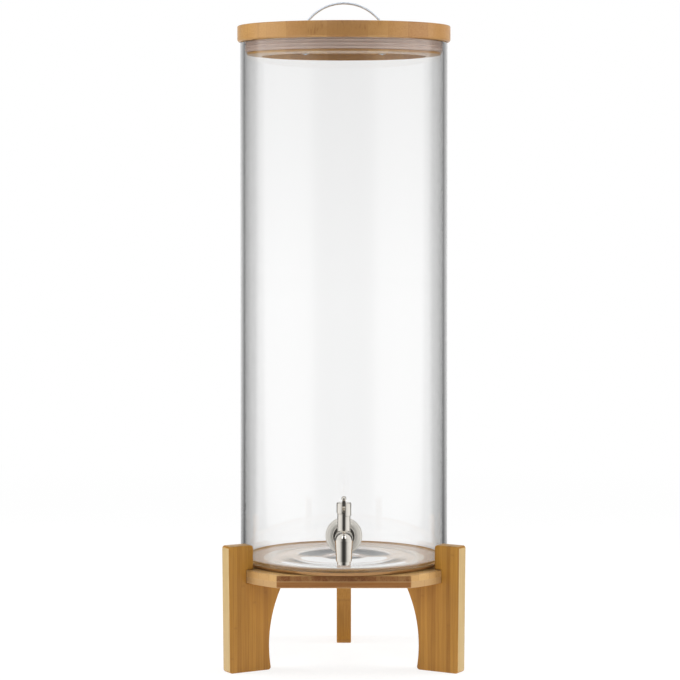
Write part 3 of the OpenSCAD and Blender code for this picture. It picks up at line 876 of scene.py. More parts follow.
@dataclass
class Vessel:
    """The glass cylinder, with its round foot, its pushed-up underside and its fire-polished
    rim. It stands a hair above the deck, so that glass and deck share no face."""

    wall: float = 3.8
    floor: float = 4.0
    foot_round: float = 5.0
    floor_round: float = 3.0
    rim_round: float = 1.2
    round_steps: int = 9
    round_hold: float = 0.3
    flat_r: float = 70.0
    punt: float = 1.2
    punt_r: float = 56.0
    punt_steps: int = 12
    waves: float = 1.5
    wave_pitch: float = 40.0
    wave_h: float = 0.8
    wave_steps: int = 36
    hole_r: float = 8.3
    hole_past: float = 3.0
    tap_levels: tuple[float, ...] = (-22.0, -11.0, 11.0, 22.0)
    levels: tuple[float, ...] = (200.0, 300.0, 400.0, 500.0)
    # The ring under the foot that gets the ground finish with the painted deck tint
    ground_tint_r: float = 74.0
    ground_tint_h: float = 3.2
    rest_gap: float = 0.04
    steps: int = 224

    def build(self) -> None:
        """Turn the glass, drill it, dress it, and give the ring that it stands on a ground finish
        whose tan tint is painted: it stands in for the deck seen through the foot.
        """
        low, high = span("glass_vessel")
        radius = high.x
        bore = radius - self.wall
        floor = low.z + self.floor
        tap = middle("tap_flange", "z")
        heights = [*(tap + up for up in self.tap_levels), *self.levels]
        foot = low.z + self.rest_gap
        wall = [(self.punt_r, foot), (self.flat_r, foot), (radius, foot, self.foot_round),
                *((radius, z) for z in heights),
                (radius, high.z, self.rim_round), (bore, high.z, self.rim_round),
                *((bore, z) for z in reversed(heights)),
                (bore, floor, self.floor_round), (self.flat_r, floor)]
        punt = [(r, foot + self.punt * (1 - (r / self.punt_r) ** 2))
                for r in (self.punt_r * i / self.punt_steps for i in range(self.punt_steps))]
        eased = ease_outline(wall, steps=self.round_steps, hold=self.round_hold)
        piece = turn("glass_cylinder", [*punt, *eased, *self.floor_rings(floor)], GLASS_AXIS,
                     self.steps)
        hole = Axis(Vector((0, AXIS_Y - radius, tap)), -Y, Z)
        drill(piece, hole, self.hole_r, -self.wall - self.hole_past, self.hole_past)
        dress(piece, GLASS, Body.VESSEL, "clear_glass", "glass_vessel")
        # Faces of the ring that the glass stands on take the ground foot with the painted tan deck
        # tint
        piece.data.materials.append(GROUND_FOOT_WITH_PAINTED_DECK.material())
        for face in piece.data.polygons:
            out = math.hypot(face.center.x, face.center.y - AXIS_Y * MM) / MM
            under = face.center.z / MM < low.z + self.ground_tint_h
            face.material_index = int(under and self.ground_tint_r < out)

    def floor_rings(self, level: float) -> list[tuple[float, float]]:
        """Draw the floor's upper side from its edge to the axis, with its slow waves.

        Args:
            level: the height of the waves' low parts.

        Returns:
            Its points' radius and height.
        """
        reach = self.waves * self.wave_pitch
        points = []
        for step in range(self.wave_steps + 1):
            out = reach * (1 - step / self.wave_steps)
            turns = math.tau * out / self.wave_pitch
            points.append((out, level + self.wave_h * (1 + math.cos(turns)) / 2))
        return points


@dataclass
class Lid:
    """The bamboo lid with its plug, the ribbed band round the plug and the wire bow."""

    top_ease: float = 1.0
    low_ease: float = 2.3
    lip_ease: float = 0.6
    lip_slope: float = 1.2
    seat_r: float = 81.5
    lip_r: float = 84.0
    lip_h: float = 3.3
    ledge_ease: float = 0.3
    recess_r: float = 71.5
    recess_h: float = 5.5
    recess_bevel: float = 0.6
    recess_ease: float = 0.4
    recess_edge: float = 0.2
    band_r: float = 85.0
    band_play: float = 0.1
    rib_r: float = 0.9
    ribs: int = 3
    rib_steps: int = 8
    wire_r: float = 1.0
    bow_r: float = 39.5
    bow_bend: float = 5.0
    bow_rise: float = 20.0
    bend_lift: float = 0.2
    bend_steps: int = 10
    bow_steps: int = 48
    knee: float = 6.0
    thread_pitch: float = 0.4
    thread_len: float = 3.6
    thread_lap: float = 0.1
    washer_ease: float = 0.2
    hole_play: float = 0.1
    nut_play: float = 0.06
    past: float = 2.0
    steps: int = 224

    def build(self) -> None:
        """Make and dress every piece of the lid."""
        self.board()
        self.band()
        self.bow()
        self.fasteners()

    def board(self) -> None:
        """Turn the lid with its plug, and drill it for the wire."""
        low, high = span("lid_board")
        rim = span("glass_vessel")[1].z
        seat, recess = low.z + self.lip_h, low.z + self.recess_h
        outline = [(0, high.z), (high.x, high.z, self.top_ease), (high.x, rim, self.low_ease),
                   (self.seat_r, rim), (self.seat_r, seat), (self.lip_r, seat, self.ledge_ease),
                   (self.lip_r, low.z + self.lip_slope, self.lip_ease),
                   (self.recess_r + self.recess_bevel, low.z, self.recess_ease),
                   (self.recess_r, low.z, self.recess_edge), (self.recess_r, recess),
                   (0, recess)]
        piece = turn("lid_panel", outline, GLASS_AXIS, self.steps)
        for axis in self.wire_axes():
            drill(piece, axis, self.wire_r + self.hole_play, low.z, high.z + self.past)
        lid = Bamboo("bamboo of the lid", light="#BE945A", dark="#96683A", end_tint="#A0743F",
                     centre=(3.0, AXIS_Y, 540.0), turned=(-math.pi / 2, 0, 0), strip_mm=17.0,
                     coat=0.3, seed=3.0)
        dress(piece, lid, Body.LID, "bamboo_lid", "lid_board")

    def band(self) -> None:
        """Turn the sealing band with its ribs."""
        low, high = span("lid_seal")
        inner = self.seat_r + self.band_play
        pitch = (high.z - low.z + self.band_play) / self.ribs
        outside = []
        for rib in range(self.ribs):
            centre = high.z - pitch * (rib + 0.5)
            for step in range(self.rib_steps + 1):
                angle = math.pi * (0.5 - step / self.rib_steps)
                outside.append((self.band_r + self.rib_r * math.cos(angle),
                                centre + self.rib_r * math.sin(angle)))
        outline = [(inner, low.z), (inner, high.z), (self.band_r, high.z), *outside,
                   (self.band_r, low.z), (inner, low.z)]
        piece = turn("sealing_band", outline, GLASS_AXIS, self.steps)
        dress(piece, SILICONE, Body.LID, "clear_silicone", "lid_seal")

    def bow_angles(self) -> tuple[float, float, float]:
        """Work out how the bow's wire runs.

        Returns:
            Its half angle, and the heights of its centre and of its bends.
        """
        top = span("lid_board")[1].z
        centre = top + self.bow_rise - self.bow_r
        bend = top + self.bend_lift
        return math.acos((bend - centre) / (self.bow_r - self.bow_bend)), centre, bend

    def foot_x(self) -> float:
        """Return how far from the middle the wire goes down into the lid."""
        half = self.bow_angles()[0]
        return (self.bow_r - self.bow_bend) * math.sin(half) + self.bow_bend

    def wire_axes(self) -> list[Axis]:
        """Return the upright axes of the wire's two ends."""
        return [Axis(GLASS_AXIS.origin + X * way * self.foot_x(), Z, X) for way in (-1, 1)]

    def bow(self) -> None:
        """Bend the wire and thread its ends."""
        low = span("lid_handle")[0].z
        half, centre, bend = self.bow_angles()
        foot = self.foot_x()
        side = [(foot, low + self.thread_len - self.thread_lap), (foot, bend - self.knee)]
        for step in range(self.bend_steps + 1):
            angle = (math.pi / 2 - half) * step / self.bend_steps
            side.append((foot - self.bow_bend + self.bow_bend * math.cos(angle),
                         bend + self.bow_bend * math.sin(angle)))
        arch = [(self.bow_r * math.sin(a), centre + self.bow_r * math.cos(a))
                for a in (half - 2 * half * i / self.bow_steps
                          for i in range(1, self.bow_steps))]
        line = [*side, *arch, *[(-x, z) for x, z in reversed(side)]]
        make_active(draw_chain("lid_bow", [GLASS_AXIS.point(x, z) for x, z in line]))
        bpy.ops.object.convert(target="CURVE")
        curve = bpy.context.object.data
        curve.bevel_depth = self.wire_r * MM
        curve.bevel_resolution = 5
        curve.use_fill_caps = True
        bpy.ops.object.convert(target="MESH")
        wire = bpy.context.object
        with editing(wire):
            bpy.ops.mesh.remove_doubles(threshold=MERGE)
            bpy.ops.mesh.normals_make_consistent(inside=False)
        ends = [threaded_rod("wire_end", axis, self.wire_r, self.thread_pitch, low,
                             low + self.thread_len) for axis in self.wire_axes()]
        dress(join([wire, *ends], "lid_bow"), WIRE, Body.LID, "wire_steel", "lid_handle")

    def fasteners(self) -> None:
        """Turn the two washers and saw the two nuts under the plug."""
        washer_low, washer_high = span("handle_washers")
        nut_low, nut_high = span("handle_nuts")
        washer_r = washer_high.x - self.foot_x()
        washers, nuts = [], []
        for axis in self.wire_axes():
            washers.append(tube("washer", axis, self.wire_r + self.hole_play, washer_r,
                                washer_low.z, washer_high.z, self.washer_ease, BORE_STEPS))
            nuts.append(hex_nut("nut", axis, nut_high.y - nut_low.y, nut_low.z,
                                nut_high.z - nut_low.z, self.wire_r + self.nut_play))
        dress(join(washers, "bow_washers"), ZINC, Body.LID, "wire_steel", "handle_washers")
        dress(join(nuts, "bow_nuts"), ZINC, Body.LID, "wire_steel", "handle_nuts")


@dataclass
class Stand:
    """The bamboo deck on its three sawn legs, and the screws that hold it down."""

    deck_r: float = 99.0
    flat_r: float = 81.5
    hole_r: float = 62.0
    deck_ease: float = 1.0
    deck_steps: int = 192
    glue_half: float = 0.2
    leg_t: float = 13.0
    leg_in: float = 92.7
    leg_out: float = 116.2
    foot_out: float = 115.0
    waist_r: float = 77.2
    waist_z: float = 21.0
    arch_r: float = 108.0
    arch_steps: int = 18
    leg_round: float = 2.5
    leg_ease: float = 0.9
    notch_play: float = 0.1
    angles: tuple[int, int, int] = (90, 210, 330)
    screw_r: float = 84.0
    screw_head_r: float = 3.5
    screw_shaft_r: float = 1.75
    screw_head_h: float = 2.2
    screw_rim: float = 0.2
    screw_point: float = 5.0
    screw_steps: int = 48
    cross: Outline = ((-2, 0.5), (2, 0.5), (2, -0.4), (0.6, -1.6), (-0.6, -1.6), (-2, -0.4))
    cross_t: float = 0.7

    def build(self) -> None:
        """Make and dress every piece of the stand."""
        self.deck()
        for node, angle in zip(("leg_back", "leg_left", "leg_right"), self.angles):
            self.leg(node, angle)
        self.screws()

    def direction(self, angle: float) -> Vector:
        """Return the flat direction of an angle in degrees."""
        return Vector((math.cos(math.radians(angle)), math.sin(math.radians(angle)), 0))

    def deck(self) -> None:
        """Turn the deck as a ring, saw its three flats, ease its edges and tell its two glued
        layers apart."""
        low, high = span("deck_board")
        piece = tube("stand_deck", GLASS_AXIS, self.hole_r, self.deck_r, low.z, high.z,
                     steps=self.deck_steps)
        for angle in self.angles:
            way = -self.direction(angle)
            at = (GLASS_AXIS.origin + way * self.flat_r) * MM
            with editing(piece):
                bpy.ops.mesh.bisect(plane_co=at, plane_no=way, use_fill=True, clear_outer=True)
        ease_edges(piece, self.deck_ease)
        glued = (low.z + high.z) / 2
        for height in (glued - self.glue_half, glued + self.glue_half):
            with editing(piece):
                bpy.ops.mesh.bisect(plane_co=(0, 0, height * MM), plane_no=Z)
        centre = (0.0, AXIS_Y, glued)
        upper = Bamboo("bamboo of the deck's upper layer", light="#CDA66C", dark="#B98F58",
                       side="#B18A5A", end_tint="#6C340A", centre=centre,
                       turned=(-math.pi / 2, 0, 0), strip_mm=9.0, seed=11.0)
        dress(piece, upper, Body.STAND, "bamboo_deck", "deck_board")
        lower = Bamboo("bamboo of the deck's lower layer", light="#C59F6C", dark="#B18A5A",
                       side="#8F5922", end_tint="#B18A5A", centre=centre,
                       turned=(math.pi / 2, 0, -math.pi / 2), strip_mm=12.0, seed=17.0)
        glue = Bamboo("glue line of the deck", light="#C59F6C", dark="#BD9765",
                      side="#B98A54", end_tint="#B98A54", centre=centre, strip_mm=30.0)
        for finish in (lower, glue):
            piece.data.materials.append(finish.material())
        layer_of_upper, layer_of_lower, layer_of_glue = range(3)
        for face in piece.data.polygons:
            above = face.center.z / MM - glued
            layer = layer_of_lower if above < 0 else layer_of_upper
            face.material_index = layer_of_glue if abs(above) < self.glue_half else layer

    def leg_outline(self) -> list[tuple[float, float]]:
        """Draw a leg seen from the side.

        Returns:
            The outline's points, outwards from the glass's axis and up.
        """
        deck_low, deck_high = (corner.z for corner in span("deck_board"))
        top = span("leg_back")[1].z
        centre = self.waist_r - self.arch_r
        heights = [deck_low * (1 - i / self.arch_steps) for i in range(self.arch_steps + 1)]
        arch = [(centre + math.sqrt(self.arch_r ** 2 - (z - self.waist_z) ** 2), z)
                for z in heights]
        notch, ledge = self.deck_r + self.notch_play, deck_high + 2 * self.notch_play
        outline = [*arch[:-1], (*arch[-1], self.leg_round), (self.foot_out, 0, self.leg_round),
                   (self.leg_out, top, self.leg_round), (self.leg_in, top, self.leg_round),
                   (self.leg_in, ledge), (notch, ledge), (notch, deck_low)]
        return ease_outline(outline, closed=True)

    def leg(self, node: str, angle: int) -> None:
        """Saw one leg, ease its edges and dress it.

        Args:
            node: the leg's node.
            angle: where it stands round the glass, in degrees.
        """
        plane = Axis(GLASS_AXIS.origin, Z, self.direction(angle))
        piece = saw(f"stand_{node}", self.leg_outline(), plane, self.leg_t)
        ease_edges(piece, self.leg_ease)
        # The pale side tint of the outer edges is partly painted sheen from the side lamps
        bamboo = Bamboo(f"bamboo of {node}", light="#C08C3C", dark="#966426",
                        side="#C4AA78", end_tint="#A98550", centre=tuple(GLASS_AXIS.origin),
                        turned=(0, 0, math.radians(angle)), strip_mm=3.6, joint_mm=170.0,
                        seed=angle / 10)
        dress(piece, bamboo, Body.STAND, "bamboo_leg", node)

    def screws(self) -> None:
        """Turn the three countersunk screws, with a cross in each head."""
        low, high = span("leg_screws")
        outline = [(0, low.z), (self.screw_shaft_r, low.z + self.screw_point),
                   (self.screw_shaft_r, high.z - self.screw_head_h),
                   (self.screw_head_r, high.z - self.screw_rim), (self.screw_head_r, high.z),
                   (0, high.z)]
        made = []
        for angle in self.angles:
            axis = Axis(GLASS_AXIS.origin + self.direction(angle) * self.screw_r, Z, X)
            screw = turn("screw", outline, axis, self.screw_steps)
            for across in (self.direction(angle), self.direction(angle + 90)):
                slot = Axis(axis.origin + Z * high.z, Z, across)
                combine(screw, saw("blade", self.cross, slot, self.cross_t), Cut.REMOVE)
            made.append(screw)
        dress(join(made, "deck_screws"), ZINC, Body.STAND, "zinc_steel", "leg_screws")


@dataclass
class Tap:
    """The steel tap: body, flange, cap and lever, and what clamps it from inside."""

    shank_r: float = 7.8
    collar_r: float = 9.5
    collar_ease: float = 0.6
    barrel_r: float = 7.6
    neck_r: float = 5.5
    spout_out: float = 28.0
    spout_len: float = 17.4
    spout_tip_r: float = 6.5
    lip_r: float = 5.5
    lip_h: float = 2.9
    outlet_r: float = 4.2
    outlet_top: float = -3.4
    water_r: float = 2.6
    pocket_r: float = 4.62
    pocket_z: float = -4.45
    neck_h: float = 18.4
    stop_h: float = 2.4
    seam: float = 0.4
    stop_arc: float = 134.5
    thread_pitch: float = 1.0
    cap_ease: float = 1.0
    stem_r: float = 3.0
    slot_w: float = 3.2
    slot_lift: float = 0.8
    slot_back: float = 3.5
    lever_t: float = 2.6
    lever_bar: float = 3.4
    lever_tip_bar: float = 2.4
    lever_bend: float = 16.0
    lever_rise: float = 50.0
    lever_end: float = 7.2
    lever_step: float = 1.0
    lever_ease: float = 0.35
    root_proud: float = 0.4
    root_ease: float = 0.8
    bend_steps: int = 16
    tip_r: float = 2.0
    pin_r: float = 1.0
    pin_ease: float = 0.3
    small_steps: int = 48
    run_play: float = 0.06
    seat_play: float = 0.1
    collar_t: float = 2.2
    edge: float = 0.2
    spout_edge: float = 0.3
    lip_edge: float = 0.4
    cap_edge: float = 0.15
    dome_steps: int = 16
    ball_steps: int = 24
    sector_steps: int = 32
    thread_gap: float = 0.5
    thread_lap: float = 0.3
    outlet_past: float = 5.0
    outlet_step: float = 0.5
    skirt_lap: float = 0.3
    stop_play: float = 0.5
    stem_past: float = 3.0
    cap_roof: float = 3.1
    slot_h: float = 12.0
    pin_past: float = 6.0
    rings: int = 4
    ring_w: float = 0.25
    ring_h: float = 0.12
    ring_ease: float = 0.15
    ring_root: float = 0.1
    brim: float = 0.5
    rim_t: float = 1.4
    rim_drop: float = 0.1
    rim_ease: float = 0.4
    hub_w: float = 0.9
    disc_steps: int = 128
    washer_ease: float = 0.3
    groove_mm: float = 0.7
    clamp_groove_mm: float = 0.9

    def __post_init__(self) -> None:
        """Take the tap's places from the frame."""
        low, high = span("tap_flange")
        face = AXIS_Y - span("glass_vessel")[1].x
        self.axis = Axis(Vector((0, face, middle("tap_flange", "z"))), -Y, Z)
        turning = next(j for j in frame["joints"] if j["name"] == "lever_turn")
        neck_out = face - turning["pos_m"][1] / MM
        self.valve = Axis(self.axis.origin - Y * neck_out, Z, -Y)
        self.spout = Axis(self.axis.origin - Y * self.spout_out, Z, X)
        self.flange_from = face - high.y
        self.flange_to = face - low.y
        self.cap_low = self.neck_h + self.stop_h
        self.cap_top = span("tap_cap")[1].z - self.axis.origin.z
        self.lever_z = middle("lever_pin", "z") - self.axis.origin.z
        self.pin = Axis(self.valve.origin + Z * self.lever_z, X, Z)

    def build(self) -> None:
        """Make and dress every piece of the tap."""
        self.body()
        self.flange()
        self.clamp()
        self.cap()
        self.lever()
        paint(self.turned_steel("turned stainless steel", self.groove_mm), "gland_ring")
        paint(BUFFED, "valve_plug")
        paint(FLUOROPOLYMER, "valve_liner")
        paint(NITRILE, "plug_o_ring")
        paint(SILICONE, "outer_gasket", "inner_gasket")

    def turned_steel(self, name: str, groove_mm: float) -> TurnedSteel:
        """Return turned steel whose grooves run round the shank's axis."""
        return TurnedSteel(name, centre=tuple(self.axis.origin), turned=(math.pi / 2, 0, 0),
                           groove_mm=groove_mm)

    def sector(self, name: str, radius: float, low: float, high: float, start: float,
               end: float) -> bpy.types.Object:
        """Make a pie-shaped block about the valve's axis.

        Args:
            name: the new piece's name.
            radius: its radius.
            low: the height of its lower side above the shank's axis.
            high: the height of its upper side.
            start: the angle of its first flat side, in degrees.
            end: the angle of its second flat side.

        Returns:
            The closed block.
        """
        rim = [math.radians(start + (end - start) * i / self.sector_steps)
               for i in range(self.sector_steps + 1)]
        flat = Axis(self.valve.origin + Z * (low + high) / 2, Y, X)
        outline = [(0, 0), *[(radius * math.cos(a), radius * math.sin(a)) for a in rim]]
        return saw(name, outline, flat, high - low)

    def body(self) -> None:
        """Turn the shank with its barrel and dome, add spout and neck, and bore them."""
        end = span("tap_body")[1].y - self.axis.origin.y
        start = self.axis.origin.y - span("tap_nut")[0].y + self.thread_gap
        dome = [(self.barrel_r * math.cos(a), self.spout_out + self.barrel_r * math.sin(a))
                for a in (math.pi / 2 * i / self.dome_steps
                          for i in range(1, self.dome_steps + 1))]
        collar = self.flange_to + self.collar_t
        shank = [(0, start), (self.shank_r, start), (self.shank_r, self.flange_to),
                 (self.collar_r, self.flange_to, self.edge),
                 (self.collar_r, collar, self.collar_ease), (self.barrel_r, collar)]
        piece = turn("tap_casting", [*shank, (self.barrel_r, self.spout_out), *dome], self.axis)
        lip_low = -self.spout_len - self.lip_h
        spout = [(0, -PAST), (self.barrel_r - self.run_play, -PAST),
                 (self.spout_tip_r, -self.spout_len, self.spout_edge),
                 (self.lip_r, -self.spout_len), (self.lip_r, lip_low, self.lip_edge),
                 (0, lip_low)]
        combine(piece, turn("spout", spout, self.spout), Cut.ADD)
        top = self.cap_low - self.seam
        neck = [(0, 0), (self.neck_r, 0), (self.neck_r, top, self.edge), (0, top)]
        upright = turn("neck", neck, self.valve)
        step = self.sector("step", 2 * self.neck_r, self.neck_h, self.cap_low, FRONT,
                           FRONT + FULL_TURN - self.stop_arc)
        combine(upright, step, Cut.REMOVE)
        combine(piece, upright, Cut.ADD)
        drill(piece, self.spout, self.outlet_r, -self.spout_len - self.outlet_past,
              self.outlet_top)
        drill(piece, self.spout, self.outlet_r - self.outlet_step, self.outlet_top - PAST,
              self.water_r)
        drill(piece, self.valve, self.pocket_r, self.pocket_z, self.cap_low + 2 * PAST)
        thread = threaded_rod("thread", self.axis, self.shank_r, self.thread_pitch, -end,
                              start + self.thread_lap)
        combine(piece, thread, Cut.ADD)
        drill(piece, self.axis, self.water_r, -end - 2 * PAST, self.spout_out)
        dress(piece, BUFFED, Body.VESSEL, "polished_steel", "tap_body")

    def flange(self) -> None:
        """Turn the disc against the glass, with fine steps in its sloping face."""
        radius = span("tap_flange")[1].x
        hub, bore = self.collar_r + self.hub_w, self.shank_r + self.seat_play
        rim = self.flange_from + self.rim_t
        slope = []
        for ring in range(self.rings + 1):
            share = ring / self.rings
            out = radius - self.brim + (hub - radius + self.brim) * share
            height = rim + (self.flange_to - rim) * math.sin(share * math.pi / 2)
            slope.append((out, height, self.ring_ease))
            if ring < self.rings:
                slope.append((out - self.ring_w, height - self.ring_h, self.ring_root))
        outline = [(bore, self.flange_from), (radius, self.flange_from, self.rim_ease),
                   (radius, rim - self.rim_drop, self.rim_ease), *slope, (bore, self.flange_to),
                   (bore, self.flange_from)]
        piece = turn("tap_disc", ease_outline(outline, steps=3), self.axis, self.disc_steps)
        finish = self.turned_steel("turned disc steel", self.groove_mm)
        dress(piece, finish, Body.VESSEL, "turned_steel", "tap_flange")

    def clamp(self) -> None:
        """Turn the washer and saw the nut that clamp the tap from inside the glass."""
        finish = self.turned_steel("turned clamp steel", self.clamp_groove_mm)
        low, high = span("tap_washer")
        washer = tube("clamp_washer", self.axis, self.shank_r + self.seat_play,
                      (high.z - low.z) / 2, self.axis.origin.y - high.y,
                      self.axis.origin.y - low.y, self.washer_ease)
        dress(washer, finish, Body.VESSEL, "turned_steel", "tap_washer")
        low, high = span("tap_nut")
        nut = hex_nut("clamp_nut", self.axis, high.z - low.z, self.axis.origin.y - high.y,
                      high.y - low.y, self.shank_r + self.run_play)
        dress(nut, finish, Body.VESSEL, "turned_steel", "tap_nut")

    def cap(self) -> None:
        """Turn the cap, add its stop step and cut the slot for the lever."""
        radius = span("tap_cap")[1].x
        outline = [(0, self.cap_low), (radius, self.cap_low, self.cap_edge),
                   (radius, self.cap_top, self.cap_ease), (0, self.cap_top)]
        piece = turn("turning_cap", outline, self.valve)
        skirt_low = self.neck_h + self.seam
        ring = tube("skirt", self.valve, self.pocket_r + self.run_play, radius, skirt_low,
                    self.cap_low + self.skirt_lap)
        keep = self.sector("keep", 3 * radius, skirt_low - PAST, self.cap_low + PAST,
                           FRONT + self.stop_play, FRONT + self.stop_arc)
        combine(ring, keep, Cut.KEEP)
        combine(piece, ring, Cut.ADD)
        drill(piece, self.valve, self.stem_r + self.seat_play, self.cap_low - self.stem_past,
              self.cap_top - self.cap_roof)
        slot_low = self.cap_low + self.slot_lift
        plane = Axis(self.valve.origin + Z * slot_low, Z, -Y)
        box = [(-self.slot_back, 0), (3 * radius, 0), (3 * radius, self.slot_h),
               (-self.slot_back, self.slot_h)]
        combine(piece, saw("slot", box, plane, self.slot_w), Cut.REMOVE)
        drill(piece, self.pin, self.pin_r + self.run_play, -2 * radius, 2 * radius)
        dress(piece, BUFFED, Body.TAP_KEY, "polished_steel", "tap_cap")

    def lever_outline(self) -> tuple[list[tuple[float, float]], Vector]:
        """Draw the lever seen from the side.

        Returns:
            The outline's points, outwards from the valve's axis and up, and the middle of
            its tip.
        """
        front = span("tap_cap")[1].x + self.root_proud
        below, above = [], []
        for step in range(self.bend_steps + 1):
            share = step / self.bend_steps
            angle = math.radians(self.lever_rise * step / self.bend_steps)
            at = Vector((front + self.lever_bend * math.sin(angle),
                         self.lever_z + self.lever_bend * (1 - math.cos(angle))))
            away = Vector((-math.sin(angle), math.cos(angle)))
            half = (self.lever_bar + (self.lever_tip_bar - self.lever_bar) * share) / 2
            below.append(at - away * half)
            above.append(at + away * half)
        onward = Vector((math.cos(angle), math.sin(angle))) * self.lever_end
        for side in (below, above):
            side.append(side[-1] + onward)
        root = self.lever_bar / 2 + self.lever_step
        outline = [(-self.stem_r, self.lever_z - root),
                   (front, self.lever_z - root, self.root_ease),
                   *(tuple(p) for p in (*below, *reversed(above))),
                   (front, self.lever_z + root, self.root_ease),
                   (-self.stem_r, self.lever_z + root)]
        return ease_outline(outline, closed=True, steps=4), (below[-1] + above[-1]) / 2

    def lever(self) -> None:
        """Saw the lever, ease it, add the ball on its tip and drive in its pin."""
        plane = Axis(self.valve.origin, Z, -Y)
        outline, tip_at = self.lever_outline()
        piece = saw("key_lever", outline, plane, self.lever_t)
        ease_edges(piece, self.lever_ease)
        rise = math.radians(self.lever_rise)
        tip = Axis(plane.point(*tip_at), Z * math.sin(rise) - Y * math.cos(rise), X)
        ball = [(self.tip_r * math.sin(a), -self.tip_r * math.cos(a))
                for a in (math.pi * i / self.ball_steps for i in range(self.ball_steps + 1))]
        combine(piece, turn("ball", ball, tip, self.small_steps), Cut.ADD)
        reach = span("lever_pin")[1].x
        drill(piece, self.pin, self.pin_r + self.run_play, -self.pin_past, self.pin_past)
        dress(piece, BUFFED, Body.TAP_KEY, "polished_steel", "tap_lever")
        rod = tube("key_pin", self.pin, 0, self.pin_r, -reach, reach, self.pin_ease,
                   self.small_steps)
        dress(rod, BUFFED, Body.TAP_KEY, "turned_steel", "lever_pin")


class Role(Enum):
    """What a lamp is for: it lights surfaces, or it only shines in glossy ones."""

    LIGHT = "light"
    SHINE = "shine"


@dataclass(frozen=True)
class Lamp:
    """A soft panel lamp, placed round the object. Lengths are metres."""

    name: str
    role: Role
    azimuth: float
    elevation: float
    distance: float
    width: float
    height: float
    level: float

    def hang(self, aim: Vector) -> None:
        """Hang the lamp. Its level is how bright it makes a white surface, or how bright
        it looks.

        Args:
            aim: the point that it faces, in metres.
        """
        light = bpy.data.lights.new(self.name, "AREA")
        light.shape = "RECTANGLE"
        light.size, light.size_y = self.width, self.height
        if self.role is Role.LIGHT:
            light.energy = self.level * math.pi ** 2 * self.distance ** 2
        else:
            light.energy = self.level * math.pi * self.width * self.height
        lamp = bpy.data.objects.new(self.name, light)
        bpy.context.scene.collection.objects.link(lamp)
        turned = Euler((math.radians(90 - self.elevation), 0, math.radians(self.azimuth)))
        lamp.rotation_euler = turned
        lamp.location = aim + turned.to_matrix() @ Z * self.distance
        lamp.visible_camera = False
        lamp.visible_transmission = False
        lamp.visible_glossy = self.role is Role.SHINE
        lamp.visible_diffuse = self.role is Role.LIGHT


